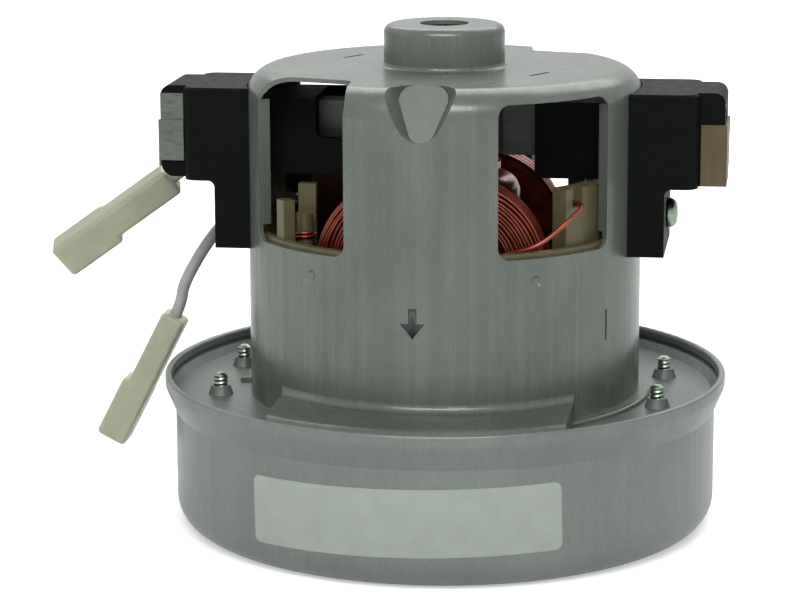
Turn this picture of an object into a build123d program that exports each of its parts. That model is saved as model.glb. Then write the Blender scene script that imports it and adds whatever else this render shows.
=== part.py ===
from build123d import *
from math import ceil, cos, radians, sin, sqrt, tan
import os

# Vacuum motor unit: a through-flow universal motor on a single-stage fan.
# Units are millimetres. Z is the shaft axis and points up, from the fan's air
# intake to the upper bearing cup. The origin is on the axis, on the bottom face
# of the fan cover. The front pillar of the can faces -Y and the two brush
# holders stand on +X and -X. An azimuth is in degrees from -Y towards +X.

# General values
fit_gap = 0.02          # between fixed pieces that sit in one another
slip_gap = 0.12         # between a sliding piece and its guide
air_gap = 0.3           # smallest air between neighbours that stay apart
overrun = 5.0           # how far a cutter passes the sheet it cuts
turn = 360.0            # degrees in a full turn
tiny = 1e-9             # below this two directions are the same

# Fan cover: a deep drawn drum with a flared, hemmed rim
drum_step = 18.5        # how far its straight wall stands outside the can's wall
drum_sheet = 0.8
drum_corner = 7.0       # outside radius between wall and bottom
crease_z = 28.7         # where the wall starts to flare
rim_flare = 2.5         # how far the hemmed rim stands outside the straight wall
rim_straight_z = 34.6   # where the flare ends and the hem starts
rim_z = 37.4            # top of the rim
hem_fold = 0.8          # extra sheet thickness of the hem
hem_round = 0.7
flare_round = 3.0
eye_r = 21.0            # air intake hole in the bottom

# Intake seal: a ring that the fan's eye turns in
seal_lap = 2.6          # how far its flange reaches past the hole
seal_flange = 1.0
seal_bore_r = 19.3
seal_inset = 0.15       # its lower face above the bottom face

# Rating label: a bare sticker on the drum wall
label_width = 71.4      # straight width, edge to edge
label_height = 16.0
label_mid_z = 16.2
label_azimuth = -1.8
label_tilt = 1.1        # degrees, its right end up
label_thickness = 0.12
label_round = 1.6

# Bracket plate: the sheet between the fan chamber and the motor
plate_sheet = 1.0
plate_z = 32.5          # its top face
plate_collar_z = 34.4   # top of its turned-up edge
cup_lip = 3.5           # how far the cup's floor reaches under the bearing
vent_inner_r = 17.5
vent_inset = 3.5        # between a vent and the can's bore
vent_half_angle = 21.0
vent_count = 6
screw_inset = 13.0      # diffuser screws, four on a rectangle, this far inside the drum's wall
screw_y = 15.2
screw_r = 1.75
screw_tip_z = 37.8
screw_point = 1.0
collar_height = 2.2     # drawn collar that a screw cuts its thread in
collar_base_r = 3.05
collar_top_r = 2.25

# Motor can: the deep drawn shell with windows and the upper bearing cup
can_r = 47.5            # outside
can_sheet = 1.0
can_top_z = 111.7       # flat top face
shoulder_round = 6.5    # outside radius between wall and top
cup_r = 14.55           # outside of the upper bearing cup
cup_top_z = 121.8
cup_root_round = 1.1
cup_top_round = 2.0
cup_hole_r = 5.9
window_sill_z = 72.6
window_low_top_z = 108.3
window_middle = 41.0    # azimuth of a window's middle, from each pillar
window_half_angle = 19.0
window_round = 3.0
high_notch_inset = 13.3     # a high window's notch in the flat top, from the wall inwards
high_notch_x = 6.4      # and its deepest corner, from the window's middle
high_window_round = 4.0
jamb_depth = 2.4        # turned-in edge beside each brush holder
jamb_foot = 3.4         # jamb ends this far above the sill
jamb_head = 5.8         # and this far below the shoulder
pad_half_width = 34.5   # raised air channel over the bracket plate
pad_z = 37.5
pad_gap = 2.0           # between channel and rim hem
pad_round = 2.4
pad_root_round = 1.8
lip_width = 3.2         # low turned-out lip beside each channel
lip_height = 1.0
lip_start = 42.0
lip_end = 93.0
dart_tip_z = 94.0       # pressed gusset across each pillar's shoulder, its sharp corner
dart_reach = 11.5       # from the wall inwards on the flat top
dart_half_width = 7.0
dart_tip_round = 3.0
dart_head_round = 3.5
dart_draft = 24.0       # degrees, opening outwards
dimple_azimuth = 33.5
dimple_z = 67.4
dimple_ball_r = 2.0
dimple_depth = 0.5
lance_azimuth = 60.0
lance_z = 54.1
lance_length = 7.4
lance_width = 0.7
lance_depth = 0.5
crease_mark_r = 28.0    # short dents in the flat top
crease_mark_azimuth = 60.0
crease_mark_length = 7.5
crease_mark_width = 1.1
crease_mark_depth = 0.4

# Brush gear: one holder per side, the left is the right turned half round
holder_half_width = 14.5
holder_bottom_z = 84.8
holder_top_z = 107.2
holder_reach = 14.1     # from the can's wall to the outer face of the main body
holder_round = 3.4
holder_edge = 0.5
nose_reach = 6.1        # from there to the outer face of the narrower nose
nose_half_width = 10.0
nose_bottom_z = 85.0
nose_top_round = 2.5
nose_bottom_round = 3.0
leg_reach = 6.4         # from the can's wall to the outer face of the leg
leg_bottom_z = 68.5
leg_root_round = 1.6
core_half_width = 12.0  # the part that passes the can wall
core_bottom_z = 86.6
core_top_z = 104.8
core_x = 30.0
wing_x = 23.0
wing_wall = 2.1
wing_cut_z = 95.3       # one wing is cut away above this height
wing_cut_round = 2.0
holder_screw_z = 76.8
holder_screw_r = 1.5
holder_screw_head_r = 3.65
holder_screw_head = 2.5
holder_screw_round = 2.1
holder_screw_reach = 2.2    # how far it passes the can wall
brush_z = 97.0          # brush axis
brush_width = 6.5
brush_height = 11.0
brush_length = 23.5
brush_stroke = 6.0
tube_wall = 0.6
tube_end_gap = 2.6      # between commutator and brush tube
spring_r = 2.7
spring_wire = 0.5
shunt_r = 0.7
strip_sheet = 0.5       # sheet of caps and clips
cap_bottom_z = 85.1
cap_top_z = 99.7
cap_wrap = 4.5          # how far the cap reaches past the brush axis
cap_back = 0.5          # cap and clip start this far from the main body
clip_bottom_z = 89.0
clip_step_z = 98.9
clip_top_z = 105.3
clip_step = 0.25
tab_height = 8.0
tab_width = 5.4
tab_bottom_z = 87.6

# Rotor
shaft_r = 4.0
shaft_bottom_z = 3.0
shaft_top_z = 119.6
armature_r = 22.4
slot_count = 12
slot_depth = 8.5
slot_width = 3.4
slot_mouth = 1.8
slot_roof = 1.6
slot_fill_gap = 0.2
end_disc = 1.0
end_disc_r = 21.6
coil_head_r = 18.4
coil_head_top_z = 85.6
coil_head_bottom_z = 36.0
coil_head_bore_r = 7.0
coil_head_round = 4.5
commutator_r = 12.0
bar_count = 24
bar_inner_r = 9.2
bar_slot = 0.5
bar_bottom_z = 87.0
bar_top_z = 106.2
riser_r = 13.6
riser_height = 1.6
hub_overhang = 0.5
spacer_wall = 2.2

# Bearings: 8 x 22 x 7 ball bearings
bearing_r = 11.0
bearing_width = 7.0
bearing_pitch_r = 7.5
bearing_outer_race = 1.8
bearing_inner_race = 1.9
ball_r = 1.984
ball_count = 7
ball_gap = 0.04
cage_half_width = 0.5
cage_half_height = 2.4
shield_sheet = 0.25
upper_bearing_z = 112.3     # lower face of the upper bearing
lower_bearing_z = 23.6      # lower face of the lower bearing
sleeve_lip = 1.5
sleeve_foot = 0.9
sleeve_roof = 1.1

# Stator
stack_bottom_z = 46.5
stack_top_z = 66.5
rotor_gap = 0.5
yoke_wall = 6.1
pole_half_width = 16.0
shoe_depth = 4.1
shoe_back_y = 18.4

# Field coils
wire_d = 1.0
wire_pitch = 1.45
coil_layer_loops = 6    # loops across the outer side of a coil
coil_face_loops = 6     # loops that spiral in across its front face
coil_half_width = 27.0  # middle of the outermost wire
coil_inner_half_width = 17.0
coil_back_y = 19.2
coil_top_centre_x = 6.5
coil_top_centre_z = 67.5
coil_bottom_centre_x = 14.0
coil_bottom_centre_z = 47.0

# Field insulators
insulator_sheet = 1.5
insulator_rim = 1.9
insulator_rim_z = 73.7
former_gap = 0.3
terminal_block_start = 47.0
terminal_block_end = 64.8
terminal_block_inset = 7.3      # from the can's bore to the block's inner face
terminal_block_depth = 4.6
terminal_block_z = 87.0
terminal_slot_azimuth = 52.0
terminal_slot_width = 3.4
terminal_slot_z = 82.6
post_azimuth = 51.5
post_width = 3.4
post_depth = 3.0
post_inset = 1.3        # from the can's bore to the rib's outer face
post_z = 83.0
peg_x = 30.9
peg_y = 21.0
peg_r = 2.1
peg_z = 78.8
peg_back_width = 4.2
peg_back_y = 16.8
peg_back_depth = 2.6
peg_back_z = 85.0
peg_web_x = 28.4        # the web under the peg starts here, clear of the coil
peg_web_depth = 11.0
jumper_d = 1.1
jumper_route = [(13.9, -29.6, 70.4), (18.2, -35.4, 72.4), (26.6, -36.9, 75.0), (33.2, -32.2, 80.5),
                (36.4, -28.9, 83.5), (32.9, -26.1, 83.5)]
lead_boss_r = 2.2
lead_boss_length = 4.5

# Diffuser
diffuser_sheet = 1.6
diffuser_z = 15.2
diffuser_inset = 7.0    # its disc and its vanes' guide ends, inside the drum's wall
diffuser_bore_r = 14.0
vane_count = 12
vane_wall = 1.6
vane_inner_r = 24.0
vane_sweep = 34.0       # degrees from inner to outer end
guide_inset = 8.4
guide_bottom_z = 7.0
screw_boss_r = 5.0
screw_head_r = 3.6
screw_head = 2.4
screw_sink = 3.0

# Fan
fan_tip_gap = 1.6       # between the fan and the guide ends
fan_sheet = 0.8
fan_back_z = 14.0       # top face of its back plate
fan_eye_r = 18.3
fan_neck_z = 1.6
fan_shroud_inner_z = 3.4
fan_shroud_outer_z = 6.6
fan_shroud_knee_r = 22.0
blade_count = 8
blade_inner_r = 21.0
blade_inset = 1.0
blade_sweep = 62.0
blade_bow = 21.0        # how far the middle of a blade leads its straight line
washer_r = 13.0
washer_thickness = 2.4
nut_flats = 13.0
nut_height = 6.0

# Lead wires and their connectors
lead_d = 3.0
lead_start_azimuth = 226.8     # both wires leave the insulator here
lead_start_inset = 0.5         # from the can's bore inwards
lead_azimuth = 252.0    # the way a wire leaves its stub
lead_first_run = 9.2
upper_lead_z = 84.3
lower_lead_z = 77.3
upper_route = [(-51.2, 29.2, 86.6), (-58.2, 21.4, 88.2)]
lower_route = [(-51.8, 27.0, 73.6), (-60.0, 17.4, 67.6), (-68.3, 14.0, 53.6)]
upper_rear = (-70.75, 16.0, 80.25)
upper_mouth = (-100.45, 16.0, 58.9)
lower_rear = (-70.2, 14.0, 45.2)
lower_mouth = (-87.0, 14.0, 12.4)
upper_last_run = 7.7    # straight run before a connector's rear
lower_last_run = 3.0
upper_roll = -20.0      # how far each connector is turned about its own axis
lower_roll = -90.0
connector_length = 36.5
connector_wide_length = 16.5
connector_width = 9.2
connector_thickness = 7.8
connector_neck_width = 7.6
connector_neck_thickness = 6.3
connector_wall = 1.0
connector_seat = 7.5    # depth of the wire hole at the rear
connector_edge = 1.2
receptacle_height = 2.7
receptacle_sheet = 0.4
receptacle_length = 15.0
receptacle_inset = 6.5  # from the mouth
crimp_r = 1.9


# Sizes that follow from the ones above
can_bore_r = can_r - can_sheet
drum_r = can_r + drum_step
rim_r = drum_r + rim_flare
dart_top_r = can_r - dart_reach
high_notch_y = can_r - high_notch_inset
vent_outer_r = can_bore_r - vent_inset
screw_x = drum_r - screw_inset
holder_x = can_r + holder_reach
nose_x = holder_x + nose_reach
leg_x = can_r + leg_reach
terminal_block_inner_r = can_bore_r - terminal_block_inset
terminal_block_outer_r = terminal_block_inner_r + terminal_block_depth
diffuser_disc_r = drum_r - diffuser_inset
guide_inner_r = drum_r - guide_inset
fan_r = guide_inner_r - fan_tip_gap
blade_outer_r = fan_r - blade_inset
lead_start_r = can_bore_r - lead_start_inset
lead_start_x = lead_start_r * sin(radians(lead_start_azimuth))
lead_start_y = -lead_start_r * cos(radians(lead_start_azimuth))
cup_bore_r = cup_r - can_sheet
plate_under_z = plate_z - plate_sheet
lamination_r = can_bore_r - fit_gap
pole_bore_r = armature_r + rotor_gap
yoke_inner_r = lamination_r - yoke_wall
flare_slope = (rim_r - drum_r) / (rim_straight_z - crease_z)
coil_front_y = coil_back_y + coil_layer_loops * wire_pitch
spacer_r = shaft_r + spacer_wall
tube_x = commutator_r + tube_end_gap
tube_half_y = brush_width / 2 + slip_gap + tube_wall
tube_half_z = brush_height / 2 + slip_gap + tube_wall
tube_end_x = nose_x - fit_gap
brush_back_x = commutator_r + slip_gap + brush_length
connector_bore_r = lead_d / 2 + fit_gap


# Shared shapes
def outline(corners):
    """A flat face from its corners (u, v), each with a radius as third value where it is rounded."""
    points = [(corner[0], corner[1]) for corner in corners]
    radii = [corner[2] if len(corner) > 2 else 0 for corner in corners]
    return make_face(FilletPolyline(*points, radius=radii, close=True))


def turned(corners, arc=turn):
    """The solid that an outline of (radius, height) corners sweeps about the shaft axis."""
    return revolve(Plane.XZ * outline(corners), Axis.Z, arc)


def ring(inner_r, outer_r, z_from, z_to):
    """A plain ring about the shaft axis."""
    return turned([(inner_r, z_from), (outer_r, z_from), (outer_r, z_to), (inner_r, z_to)])


def rod(radius, z_from, z_to):
    """A round bar on the shaft axis."""
    return Pos(0, 0, z_from) * extrude(Circle(radius), z_to - z_from)


def slab(x_from, x_to, y_from, y_to, z_from, z_to):
    """A box given by its limits."""
    middle = ((x_from + x_to) / 2, (y_from + y_to) / 2, (z_from + z_to) / 2)
    return Pos(*middle) * Box(abs(x_to - x_from), abs(y_to - y_from), abs(z_to - z_from))


def about_axis(shape, azimuth):
    """Turn a shape made at azimuth zero about the shaft axis."""
    return Rot(0, 0, azimuth) * shape


def sector(corners, azimuth, half_angle):
    """A turned solid that spans half_angle to each side of an azimuth."""
    start = azimuth - half_angle - turn / 4
    return Rot(0, 0, start) * turned(corners, 2 * half_angle)


def pin_along_x(radius, x_from, x_to, z):
    """A round bar along X at y = 0."""
    return Pos(x_from, 0, z) * (Rot(0, turn / 4, 0) * extrude(Circle(radius), x_to - x_from))


def half_turn(shape):
    """The same piece on the other side of the shaft."""
    return Rot(0, 0, turn / 2) * shape


def group(shapes):
    """Equal pieces that share one node."""
    return Compound([solid for shape in shapes for solid in shape.solids()])


# Fan cover, seal and label
def fan_cover():
    inner_flare_r = rim_r - drum_sheet
    corners = [
        (eye_r, 0),
        (drum_r, 0, drum_corner),
        (drum_r, crease_z),
        (rim_r, rim_straight_z, flare_round),
        (rim_r, rim_z, hem_round),
        (inner_flare_r - hem_fold, rim_z, hem_round),
        (inner_flare_r - hem_fold, rim_straight_z + hem_fold),
        (inner_flare_r, rim_straight_z + hem_fold),
        (inner_flare_r, rim_straight_z, flare_round - drum_sheet),
        (drum_r - drum_sheet, crease_z),
        (drum_r - drum_sheet, drum_sheet, drum_corner - drum_sheet),
        (eye_r, drum_sheet),
    ]
    return turned(corners)


def intake_seal():
    return turned([
        (seal_bore_r, seal_inset),
        (eye_r - fit_gap, seal_inset),
        (eye_r - fit_gap, drum_sheet + fit_gap),
        (eye_r + seal_lap, drum_sheet + fit_gap),
        (eye_r + seal_lap, drum_sheet + seal_flange),
        (seal_bore_r, drum_sheet + seal_flange),
    ])


def rating_label():
    band = ring(drum_r, drum_r + label_thickness, 0, crease_z)
    sticker = Plane.XZ * (Rot(0, 0, label_tilt) * RectangleRounded(label_width, label_height, label_round))
    cutter = Pos(0, 0, label_mid_z) * extrude(sticker, drum_r + overrun)
    return about_axis(band & cutter, label_azimuth)


# Bracket plate, diffuser and their screws
def screw_places():
    return [(x, y) for x in (screw_x, -screw_x) for y in (screw_y, -screw_y)]


def flare_r(z):
    """Inside radius of the drum's flare at a height."""
    return drum_r - drum_sheet + (z - crease_z) * flare_slope


def bracket_plate():
    cup_floor_z = lower_bearing_z - fit_gap
    cup_inner = bearing_r + fit_gap
    cup_outer = cup_inner + plate_sheet
    edge_r = flare_r(plate_under_z) - air_gap
    collar_r = flare_r(plate_collar_z) - air_gap
    plate = turned([
        (bearing_r - cup_lip, cup_floor_z - plate_sheet),
        (cup_outer, cup_floor_z - plate_sheet, plate_sheet),
        (cup_outer, plate_under_z),
        (edge_r, plate_under_z),
        (collar_r, plate_collar_z),
        (collar_r - plate_sheet, plate_collar_z),
        (edge_r - plate_sheet, plate_z),
        (cup_inner, plate_z, plate_sheet),
        (cup_inner, cup_floor_z),
        (bearing_r - cup_lip, cup_floor_z),
    ])
    vent = sector([
        (vent_inner_r, plate_under_z - overrun),
        (vent_outer_r, plate_under_z - overrun),
        (vent_outer_r, plate_z + overrun),
        (vent_inner_r, plate_z + overrun),
    ], 0, vent_half_angle)
    vent = vent - rod(cup_outer + plate_sheet, 0, plate_z + overrun)
    for index in range(vent_count):
        plate = plate - about_axis(vent, index * turn / vent_count)
    for x, y in screw_places():
        collar = turned([
            (0, plate_under_z),
            (collar_base_r, plate_under_z),
            (collar_base_r, plate_z),
            (collar_top_r, plate_z + collar_height),
            (0, plate_z + collar_height),
        ])
        hole = rod(screw_r + fit_gap, 0, screw_tip_z)
        plate = plate + Pos(x, y, 0) * collar
        plate = plate - Pos(x, y, 0) * hole
    return plate


def bracket_screw():
    head_z = diffuser_z + screw_sink - screw_head
    shank = turned([
        (0, head_z + screw_head),
        (screw_r, head_z + screw_head),
        (screw_r, screw_tip_z - screw_point),
        (screw_r - screw_point, screw_tip_z),
        (0, screw_tip_z),
    ])
    return shank + rod(screw_head_r, head_z, head_z + screw_head)


def bracket_screws():
    return group(Pos(x, y, 0) * bracket_screw() for x, y in screw_places())


def diffuser_vane():
    """One return vane with its deeper guide end beside the fan."""
    outer_r = drum_r - drum_sheet - air_gap
    start = Vector(0, -(vane_inner_r - vane_wall), 0)
    end = Vector(0, -(outer_r + vane_wall), 0).rotate(Axis.Z, vane_sweep)
    run = end - start
    middle = (start + end) / 2
    heading = Vector(1, 0, 0).get_signed_angle(run, Vector(0, 0, 1))
    wall = Pos(middle.X, middle.Y, 0) * (Rot(0, 0, heading) * Rectangle(run.length, vane_wall))
    high = Pos(0, 0, diffuser_z) * extrude(wall, plate_under_z - air_gap - diffuser_z)
    deep = Pos(0, 0, guide_bottom_z) * extrude(wall, plate_under_z - air_gap - guide_bottom_z)
    high = high & ring(vane_inner_r, outer_r, diffuser_z, plate_z)
    deep = deep & ring(guide_inner_r, outer_r, 0, plate_z)
    return high + deep


def diffuser():
    body = ring(diffuser_bore_r, diffuser_disc_r, diffuser_z, diffuser_z + diffuser_sheet)
    vane = diffuser_vane()
    for index in range(vane_count):
        body = body + about_axis(vane, index * turn / vane_count)
    for x, y in screw_places():
        body = body + Pos(x, y, 0) * rod(screw_boss_r, diffuser_z, plate_under_z - fit_gap)
    for x, y in screw_places():
        body = body - Pos(x, y, 0) * rod(screw_r + slip_gap, 0, plate_z)
        body = body - Pos(x, y, 0) * rod(screw_head_r + slip_gap, 0, diffuser_z + screw_sink + fit_gap)
    return body


# Motor can
def can_envelope():
    """The can's outside as a filled solid."""
    return turned([
        (0, plate_z),
        (can_r, plate_z),
        (can_r, can_top_z, shoulder_round),
        (cup_r, can_top_z, cup_root_round),
        (cup_r, cup_top_z, cup_top_round),
        (0, cup_top_z),
    ])


def can_shell():
    foot_z = plate_z + fit_gap
    return turned([
        (can_r, foot_z),
        (can_r, can_top_z, shoulder_round),
        (cup_r, can_top_z, cup_root_round),
        (cup_r, cup_top_z, cup_top_round),
        (cup_hole_r, cup_top_z),
        (cup_hole_r, cup_top_z - can_sheet),
        (cup_bore_r, cup_top_z - can_sheet, cup_top_round - can_sheet),
        (cup_bore_r, can_top_z - can_sheet, cup_root_round + can_sheet),
        (can_bore_r, can_top_z - can_sheet, shoulder_round - can_sheet),
        (can_bore_r, foot_z),
    ])


def air_channel(azimuth):
    """Outer and inner solid of a raised channel from the can over the bracket plate."""
    foot_z = plate_z + fit_gap
    outer_r = rim_r - drum_sheet - hem_fold - pad_gap
    root = pad_root_round * 2
    wide_angle = turn / 6
    outer = sector([
        (can_bore_r, foot_z),
        (outer_r, foot_z),
        (outer_r, pad_z, pad_round),
        (can_r, pad_z, pad_root_round),
        (can_r, pad_z + root),
        (can_bore_r, pad_z + root),
    ], 0, wide_angle)
    outer = outer & slab(-pad_half_width, pad_half_width, -rim_r, 0, foot_z, can_top_z)
    inner_half_width = pad_half_width - can_sheet
    inner = sector([
        (can_bore_r - overrun, foot_z - overrun),
        (outer_r - can_sheet, foot_z - overrun),
        (outer_r - can_sheet, pad_z - can_sheet, pad_round - can_sheet),
        (can_bore_r - overrun, pad_z - can_sheet),
    ], 0, wide_angle)
    inner = inner & slab(-inner_half_width, inner_half_width, -rim_r, 0, 0, can_top_z)
    return about_axis(outer, azimuth), about_axis(inner, azimuth)


def low_lip(azimuth):
    """A narrow turned-out lip of the can beside an air channel."""
    foot_z = plate_z + fit_gap
    middle = azimuth + (lip_start + lip_end) / 2
    return sector([
        (can_bore_r, foot_z),
        (can_r + lip_width, foot_z),
        (can_r + lip_width, foot_z + lip_height, lip_height / 2),
        (can_bore_r, foot_z + lip_height),
    ], middle, (lip_end - lip_start) / 2)


def window_frame(height_from, height_to, corner):
    """A rounded upright rectangle at azimuth zero that a window is punched with."""
    half_width = can_r * sin(radians(window_half_angle))
    face = RectangleRounded(2 * half_width, height_to - height_from, corner)
    return Pos(0, 0, (height_from + height_to) / 2) * (Plane.XZ * face)


def low_window():
    frame = window_frame(window_sill_z, window_low_top_z, window_round)
    return Pos(0, -(can_bore_r - shoulder_round), 0) * extrude(frame, shoulder_round + overrun)


def high_window():
    """A window that runs through the shoulder into a three-cornered notch of the flat top."""
    spring_z = can_top_z - shoulder_round
    low = window_frame(window_sill_z, spring_z + window_round, window_round)
    low = Pos(0, -(can_bore_r - shoulder_round), 0) * extrude(low, shoulder_round + overrun)
    half_width = can_r * sin(radians(window_half_angle))
    middle_r = can_r - can_sheet / 2
    edge_y = sqrt(middle_r ** 2 - half_width ** 2)
    reach = can_r + overrun
    plan = outline([
        (-half_width, -edge_y),
        (-half_width, -reach),
        (half_width, -reach),
        (half_width, -edge_y),
        (high_notch_x, -high_notch_y, high_window_round),
    ])
    return low + Pos(0, 0, spring_z) * extrude(plan, shoulder_round + overrun)


def jamb(side):
    """The turned-in edge of a window on the brush holder's side, at azimuth zero."""
    half_width = can_r * sin(radians(window_half_angle))
    edge_y = sqrt(can_bore_r ** 2 - half_width ** 2)
    x_from = side * half_width
    x_to = side * (half_width + can_sheet)
    wall = slab(x_from, x_to, -(edge_y + can_sheet / 2), -(edge_y - jamb_depth),
                window_sill_z + jamb_foot, can_top_z - jamb_head)
    return wall & rod(can_bore_r + can_sheet / 2, 0, can_top_z)


def dart_frame():
    """The tilted plane of a gusset and the height of its triangle."""
    rise = can_top_z - dart_tip_z
    run = can_r - dart_top_r
    slope = sqrt(rise ** 2 + run ** 2)
    normal = (0, -rise / slope, run / slope)
    return Plane(origin=(0, -can_r, dart_tip_z), x_dir=(1, 0, 0), z_dir=normal), slope


def dart_triangle(wall):
    """The gusset's outline in its own plane, grown by the sheet's thickness for its back."""
    frame, slope = dart_frame()
    flank = dart_half_width / slope
    foot = -wall * sqrt(1 + flank ** 2) / flank
    head = slope + wall
    half_head = (head - foot) * flank
    return frame, outline([
        (0, foot, dart_tip_round + wall),
        (half_head, head, dart_head_round + wall),
        (-half_head, head, dart_head_round + wall),
    ])


def dart_cut():
    frame, face = dart_triangle(0)
    return extrude(frame * face, shoulder_round + overrun, taper=-dart_draft)


def dart_back():
    frame, face = dart_triangle(can_sheet)
    lifted = frame.offset(-can_sheet) * face
    return extrude(lifted, shoulder_round + overrun, taper=-dart_draft)


def motor_can():
    can = can_shell()
    envelope = can_envelope()
    for pillar in (0, turn / 2):
        outer, inner = air_channel(pillar)
        can = can + outer + low_lip(pillar)
        can = can - inner
        can = can + about_axis(dart_back() & envelope, pillar)
        can = can - about_axis(dart_cut(), pillar)
        can = can - about_axis(high_window(), pillar - window_middle)
        can = can - about_axis(low_window(), pillar + window_middle)
        can = can + about_axis(jamb(-1), pillar - window_middle)
        can = can + about_axis(jamb(1), pillar + window_middle)
        for azimuth in (pillar - dimple_azimuth, pillar + dimple_azimuth):
            ball_y = can_r + dimple_ball_r - dimple_depth
            can = can - about_axis(Pos(0, -ball_y, dimple_z) * Sphere(dimple_ball_r), azimuth)
        groove = Box(lance_width, 2 * lance_depth, lance_length)
        can = can - about_axis(Pos(0, -can_r, lance_z) * groove, pillar + lance_azimuth)
        mark = Box(crease_mark_length, crease_mark_width, 2 * crease_mark_depth)
        can = can - about_axis(Pos(0, -crease_mark_r, can_top_z) * mark, pillar + crease_mark_azimuth)
        opening = slab(core_x, can_r + overrun, -(core_half_width + air_gap), core_half_width + air_gap,
                       core_bottom_z - air_gap, core_top_z + air_gap)
        screw_hole = pin_along_x(holder_screw_r + fit_gap, core_x, can_r + overrun, holder_screw_z)
        can = can - Rot(0, 0, pillar) * (opening + screw_hole)
    return can


# Stator core, field coils and insulators
def lamination():
    """One lamination's face: yoke, two pole necks and two pole shoes."""
    disc = Circle(lamination_r)
    space = Circle(yoke_inner_r)
    neck = Rectangle(2 * pole_half_width, 2 * lamination_r)
    shoe_r = pole_bore_r + shoe_depth
    shoe = Circle(shoe_r) & Rectangle(2 * shoe_r, 2 * shoe_back_y)
    shoe = shoe - Rectangle(2 * shoe_r, pole_bore_r)
    return disc - (space - neck - shoe) - Circle(pole_bore_r)


def stator_core():
    return Pos(0, 0, stack_bottom_z) * extrude(lamination(), stack_top_z - stack_bottom_z)


def racetrack(half_width):
    """The upright outline of a coil loop: a wide arch above and tighter corners below."""
    top_r = half_width - coil_top_centre_x
    bottom_r = half_width - coil_bottom_centre_x
    top_z = coil_top_centre_z + top_r
    bottom_z = coil_bottom_centre_z - bottom_r
    return outline([
        (-half_width, top_z, top_r),
        (half_width, top_z, top_r),
        (half_width, bottom_z, bottom_r),
        (-half_width, bottom_z, bottom_r),
    ])


def field_coil_core():
    """The inner layers of the front coil, under the wound outer layer."""
    outer = coil_half_width - wire_pitch / 2
    face = racetrack(outer) - racetrack(coil_inner_half_width)
    front_y = coil_front_y - wire_pitch
    back = Pos(0, -coil_back_y, 0) * (Plane.XZ * face)
    return extrude(back, front_y - coil_back_y)


def coil_corner(step):
    """Start and end of one wire corner, counted along the winding from the coil's back."""
    last_layer = coil_layer_loops - 1
    along = min((step + 1) // 4, last_layer)
    inward = max(0, (step + 2) // 4 - last_layer)
    y = -(coil_back_y + wire_pitch / 2 + along * wire_pitch)
    half_width = coil_half_width - inward * wire_pitch
    corner = step % 4
    upper = corner in (0, 1)
    side = -1 if corner in (0, 3) else 1
    centre_x = side * (coil_top_centre_x if upper else coil_bottom_centre_x)
    centre_z = coil_top_centre_z if upper else coil_bottom_centre_z
    bend = half_width - abs(centre_x)
    height = bend if upper else -bend
    beside = Vector(centre_x + side * bend, y, centre_z)
    across = Vector(centre_x, y, centre_z + height)
    return (beside, across) if corner in (0, 2) else (across, beside)


def tangent_arc(start, heading, end):
    return Edge.make_tangent_arc(start, heading, end)


def biarc(start, start_heading, end, end_heading):
    """Two arcs that leave start along one heading and reach end along the other."""
    chord = end - start
    total = start_heading + end_heading
    spread = 1 - start_heading.dot(end_heading)
    if spread < tiny:
        return [Edge.make_line(start, end)]
    lean = chord.dot(total)
    reach = (sqrt(lean ** 2 + 2 * spread * chord.dot(chord)) - lean) / (2 * spread)
    leave = start + start_heading * reach
    arrive = end - end_heading * reach
    joint = (leave + arrive) / 2
    heading = (arrive - leave).normalized()
    return [tangent_arc(start, start_heading, joint), tangent_arc(joint, heading, end)]


def winding_path():
    """The wire's middle line: straight runs joined by a biarc at each corner.

    It steps to the next loop of the outer side on the bottom run, and to the
    next loop of the front face on the right-hand run.
    """
    steps = 4 * (coil_layer_loops - 1 + coil_face_loops) + 2
    corners = [coil_corner(step) for step in range(steps)]
    side_run = Vector(0, 0, coil_top_centre_z - coil_bottom_centre_z)
    first_start = corners[0][0]
    runs = [(first_start - side_run, first_start)]
    for before, after in zip(corners, corners[1:]):
        runs.append((before[1], after[0]))
    runs.append((corners[-1][1], coil_corner(steps)[0]))
    headings = [(end - start).normalized() for start, end in runs]
    edges = [Edge.make_line(*runs[0])]
    for index, (start, end) in enumerate(corners):
        edges += biarc(start, headings[index], end, headings[index + 1])
        edges.append(Edge.make_line(*runs[index + 1]))
    return Wire(edges)


def least_gap(path, diameter, count):
    """Least air between two turns of a tube, measured between points along its middle line."""
    length = path.length
    step = length / count
    points = [path.position_at(index / count) for index in range(count + 1)]
    skip = int(4 * diameter / step) + 1
    near = length
    for index, point in enumerate(points):
        for other in points[index + skip:]:
            near = min(near, (point - other).length)
    return near - diameter


def swept_tube(path, diameter, label):
    """A round tube along a path, with a line that compares its volume with section times length."""
    start = Plane(origin=path.position_at(0), z_dir=path.tangent_at(0))
    tube = sweep(start * Circle(diameter / 2), path=path)
    section = Circle(diameter / 2).area
    print(f"{label}: length {path.length:.1f} mm, volume ratio {tube.volume / (section * path.length):.4f}")
    return tube


def field_coil_winding():
    path = winding_path()
    samples = 1500
    print(f"field coil: least gap between turns {least_gap(path, wire_d, samples):.2f} mm")
    return swept_tube(path, wire_d, "field coil winding")


def insulator_face():
    """The plate that covers a lamination's end: ring and pole covers."""
    disc = Circle(lamination_r - air_gap)
    cover = Rectangle(2 * (pole_half_width - air_gap), 2 * lamination_r)
    hole = Circle(yoke_inner_r + air_gap) - cover
    return disc - hole - Circle(pole_bore_r + air_gap)


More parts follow.
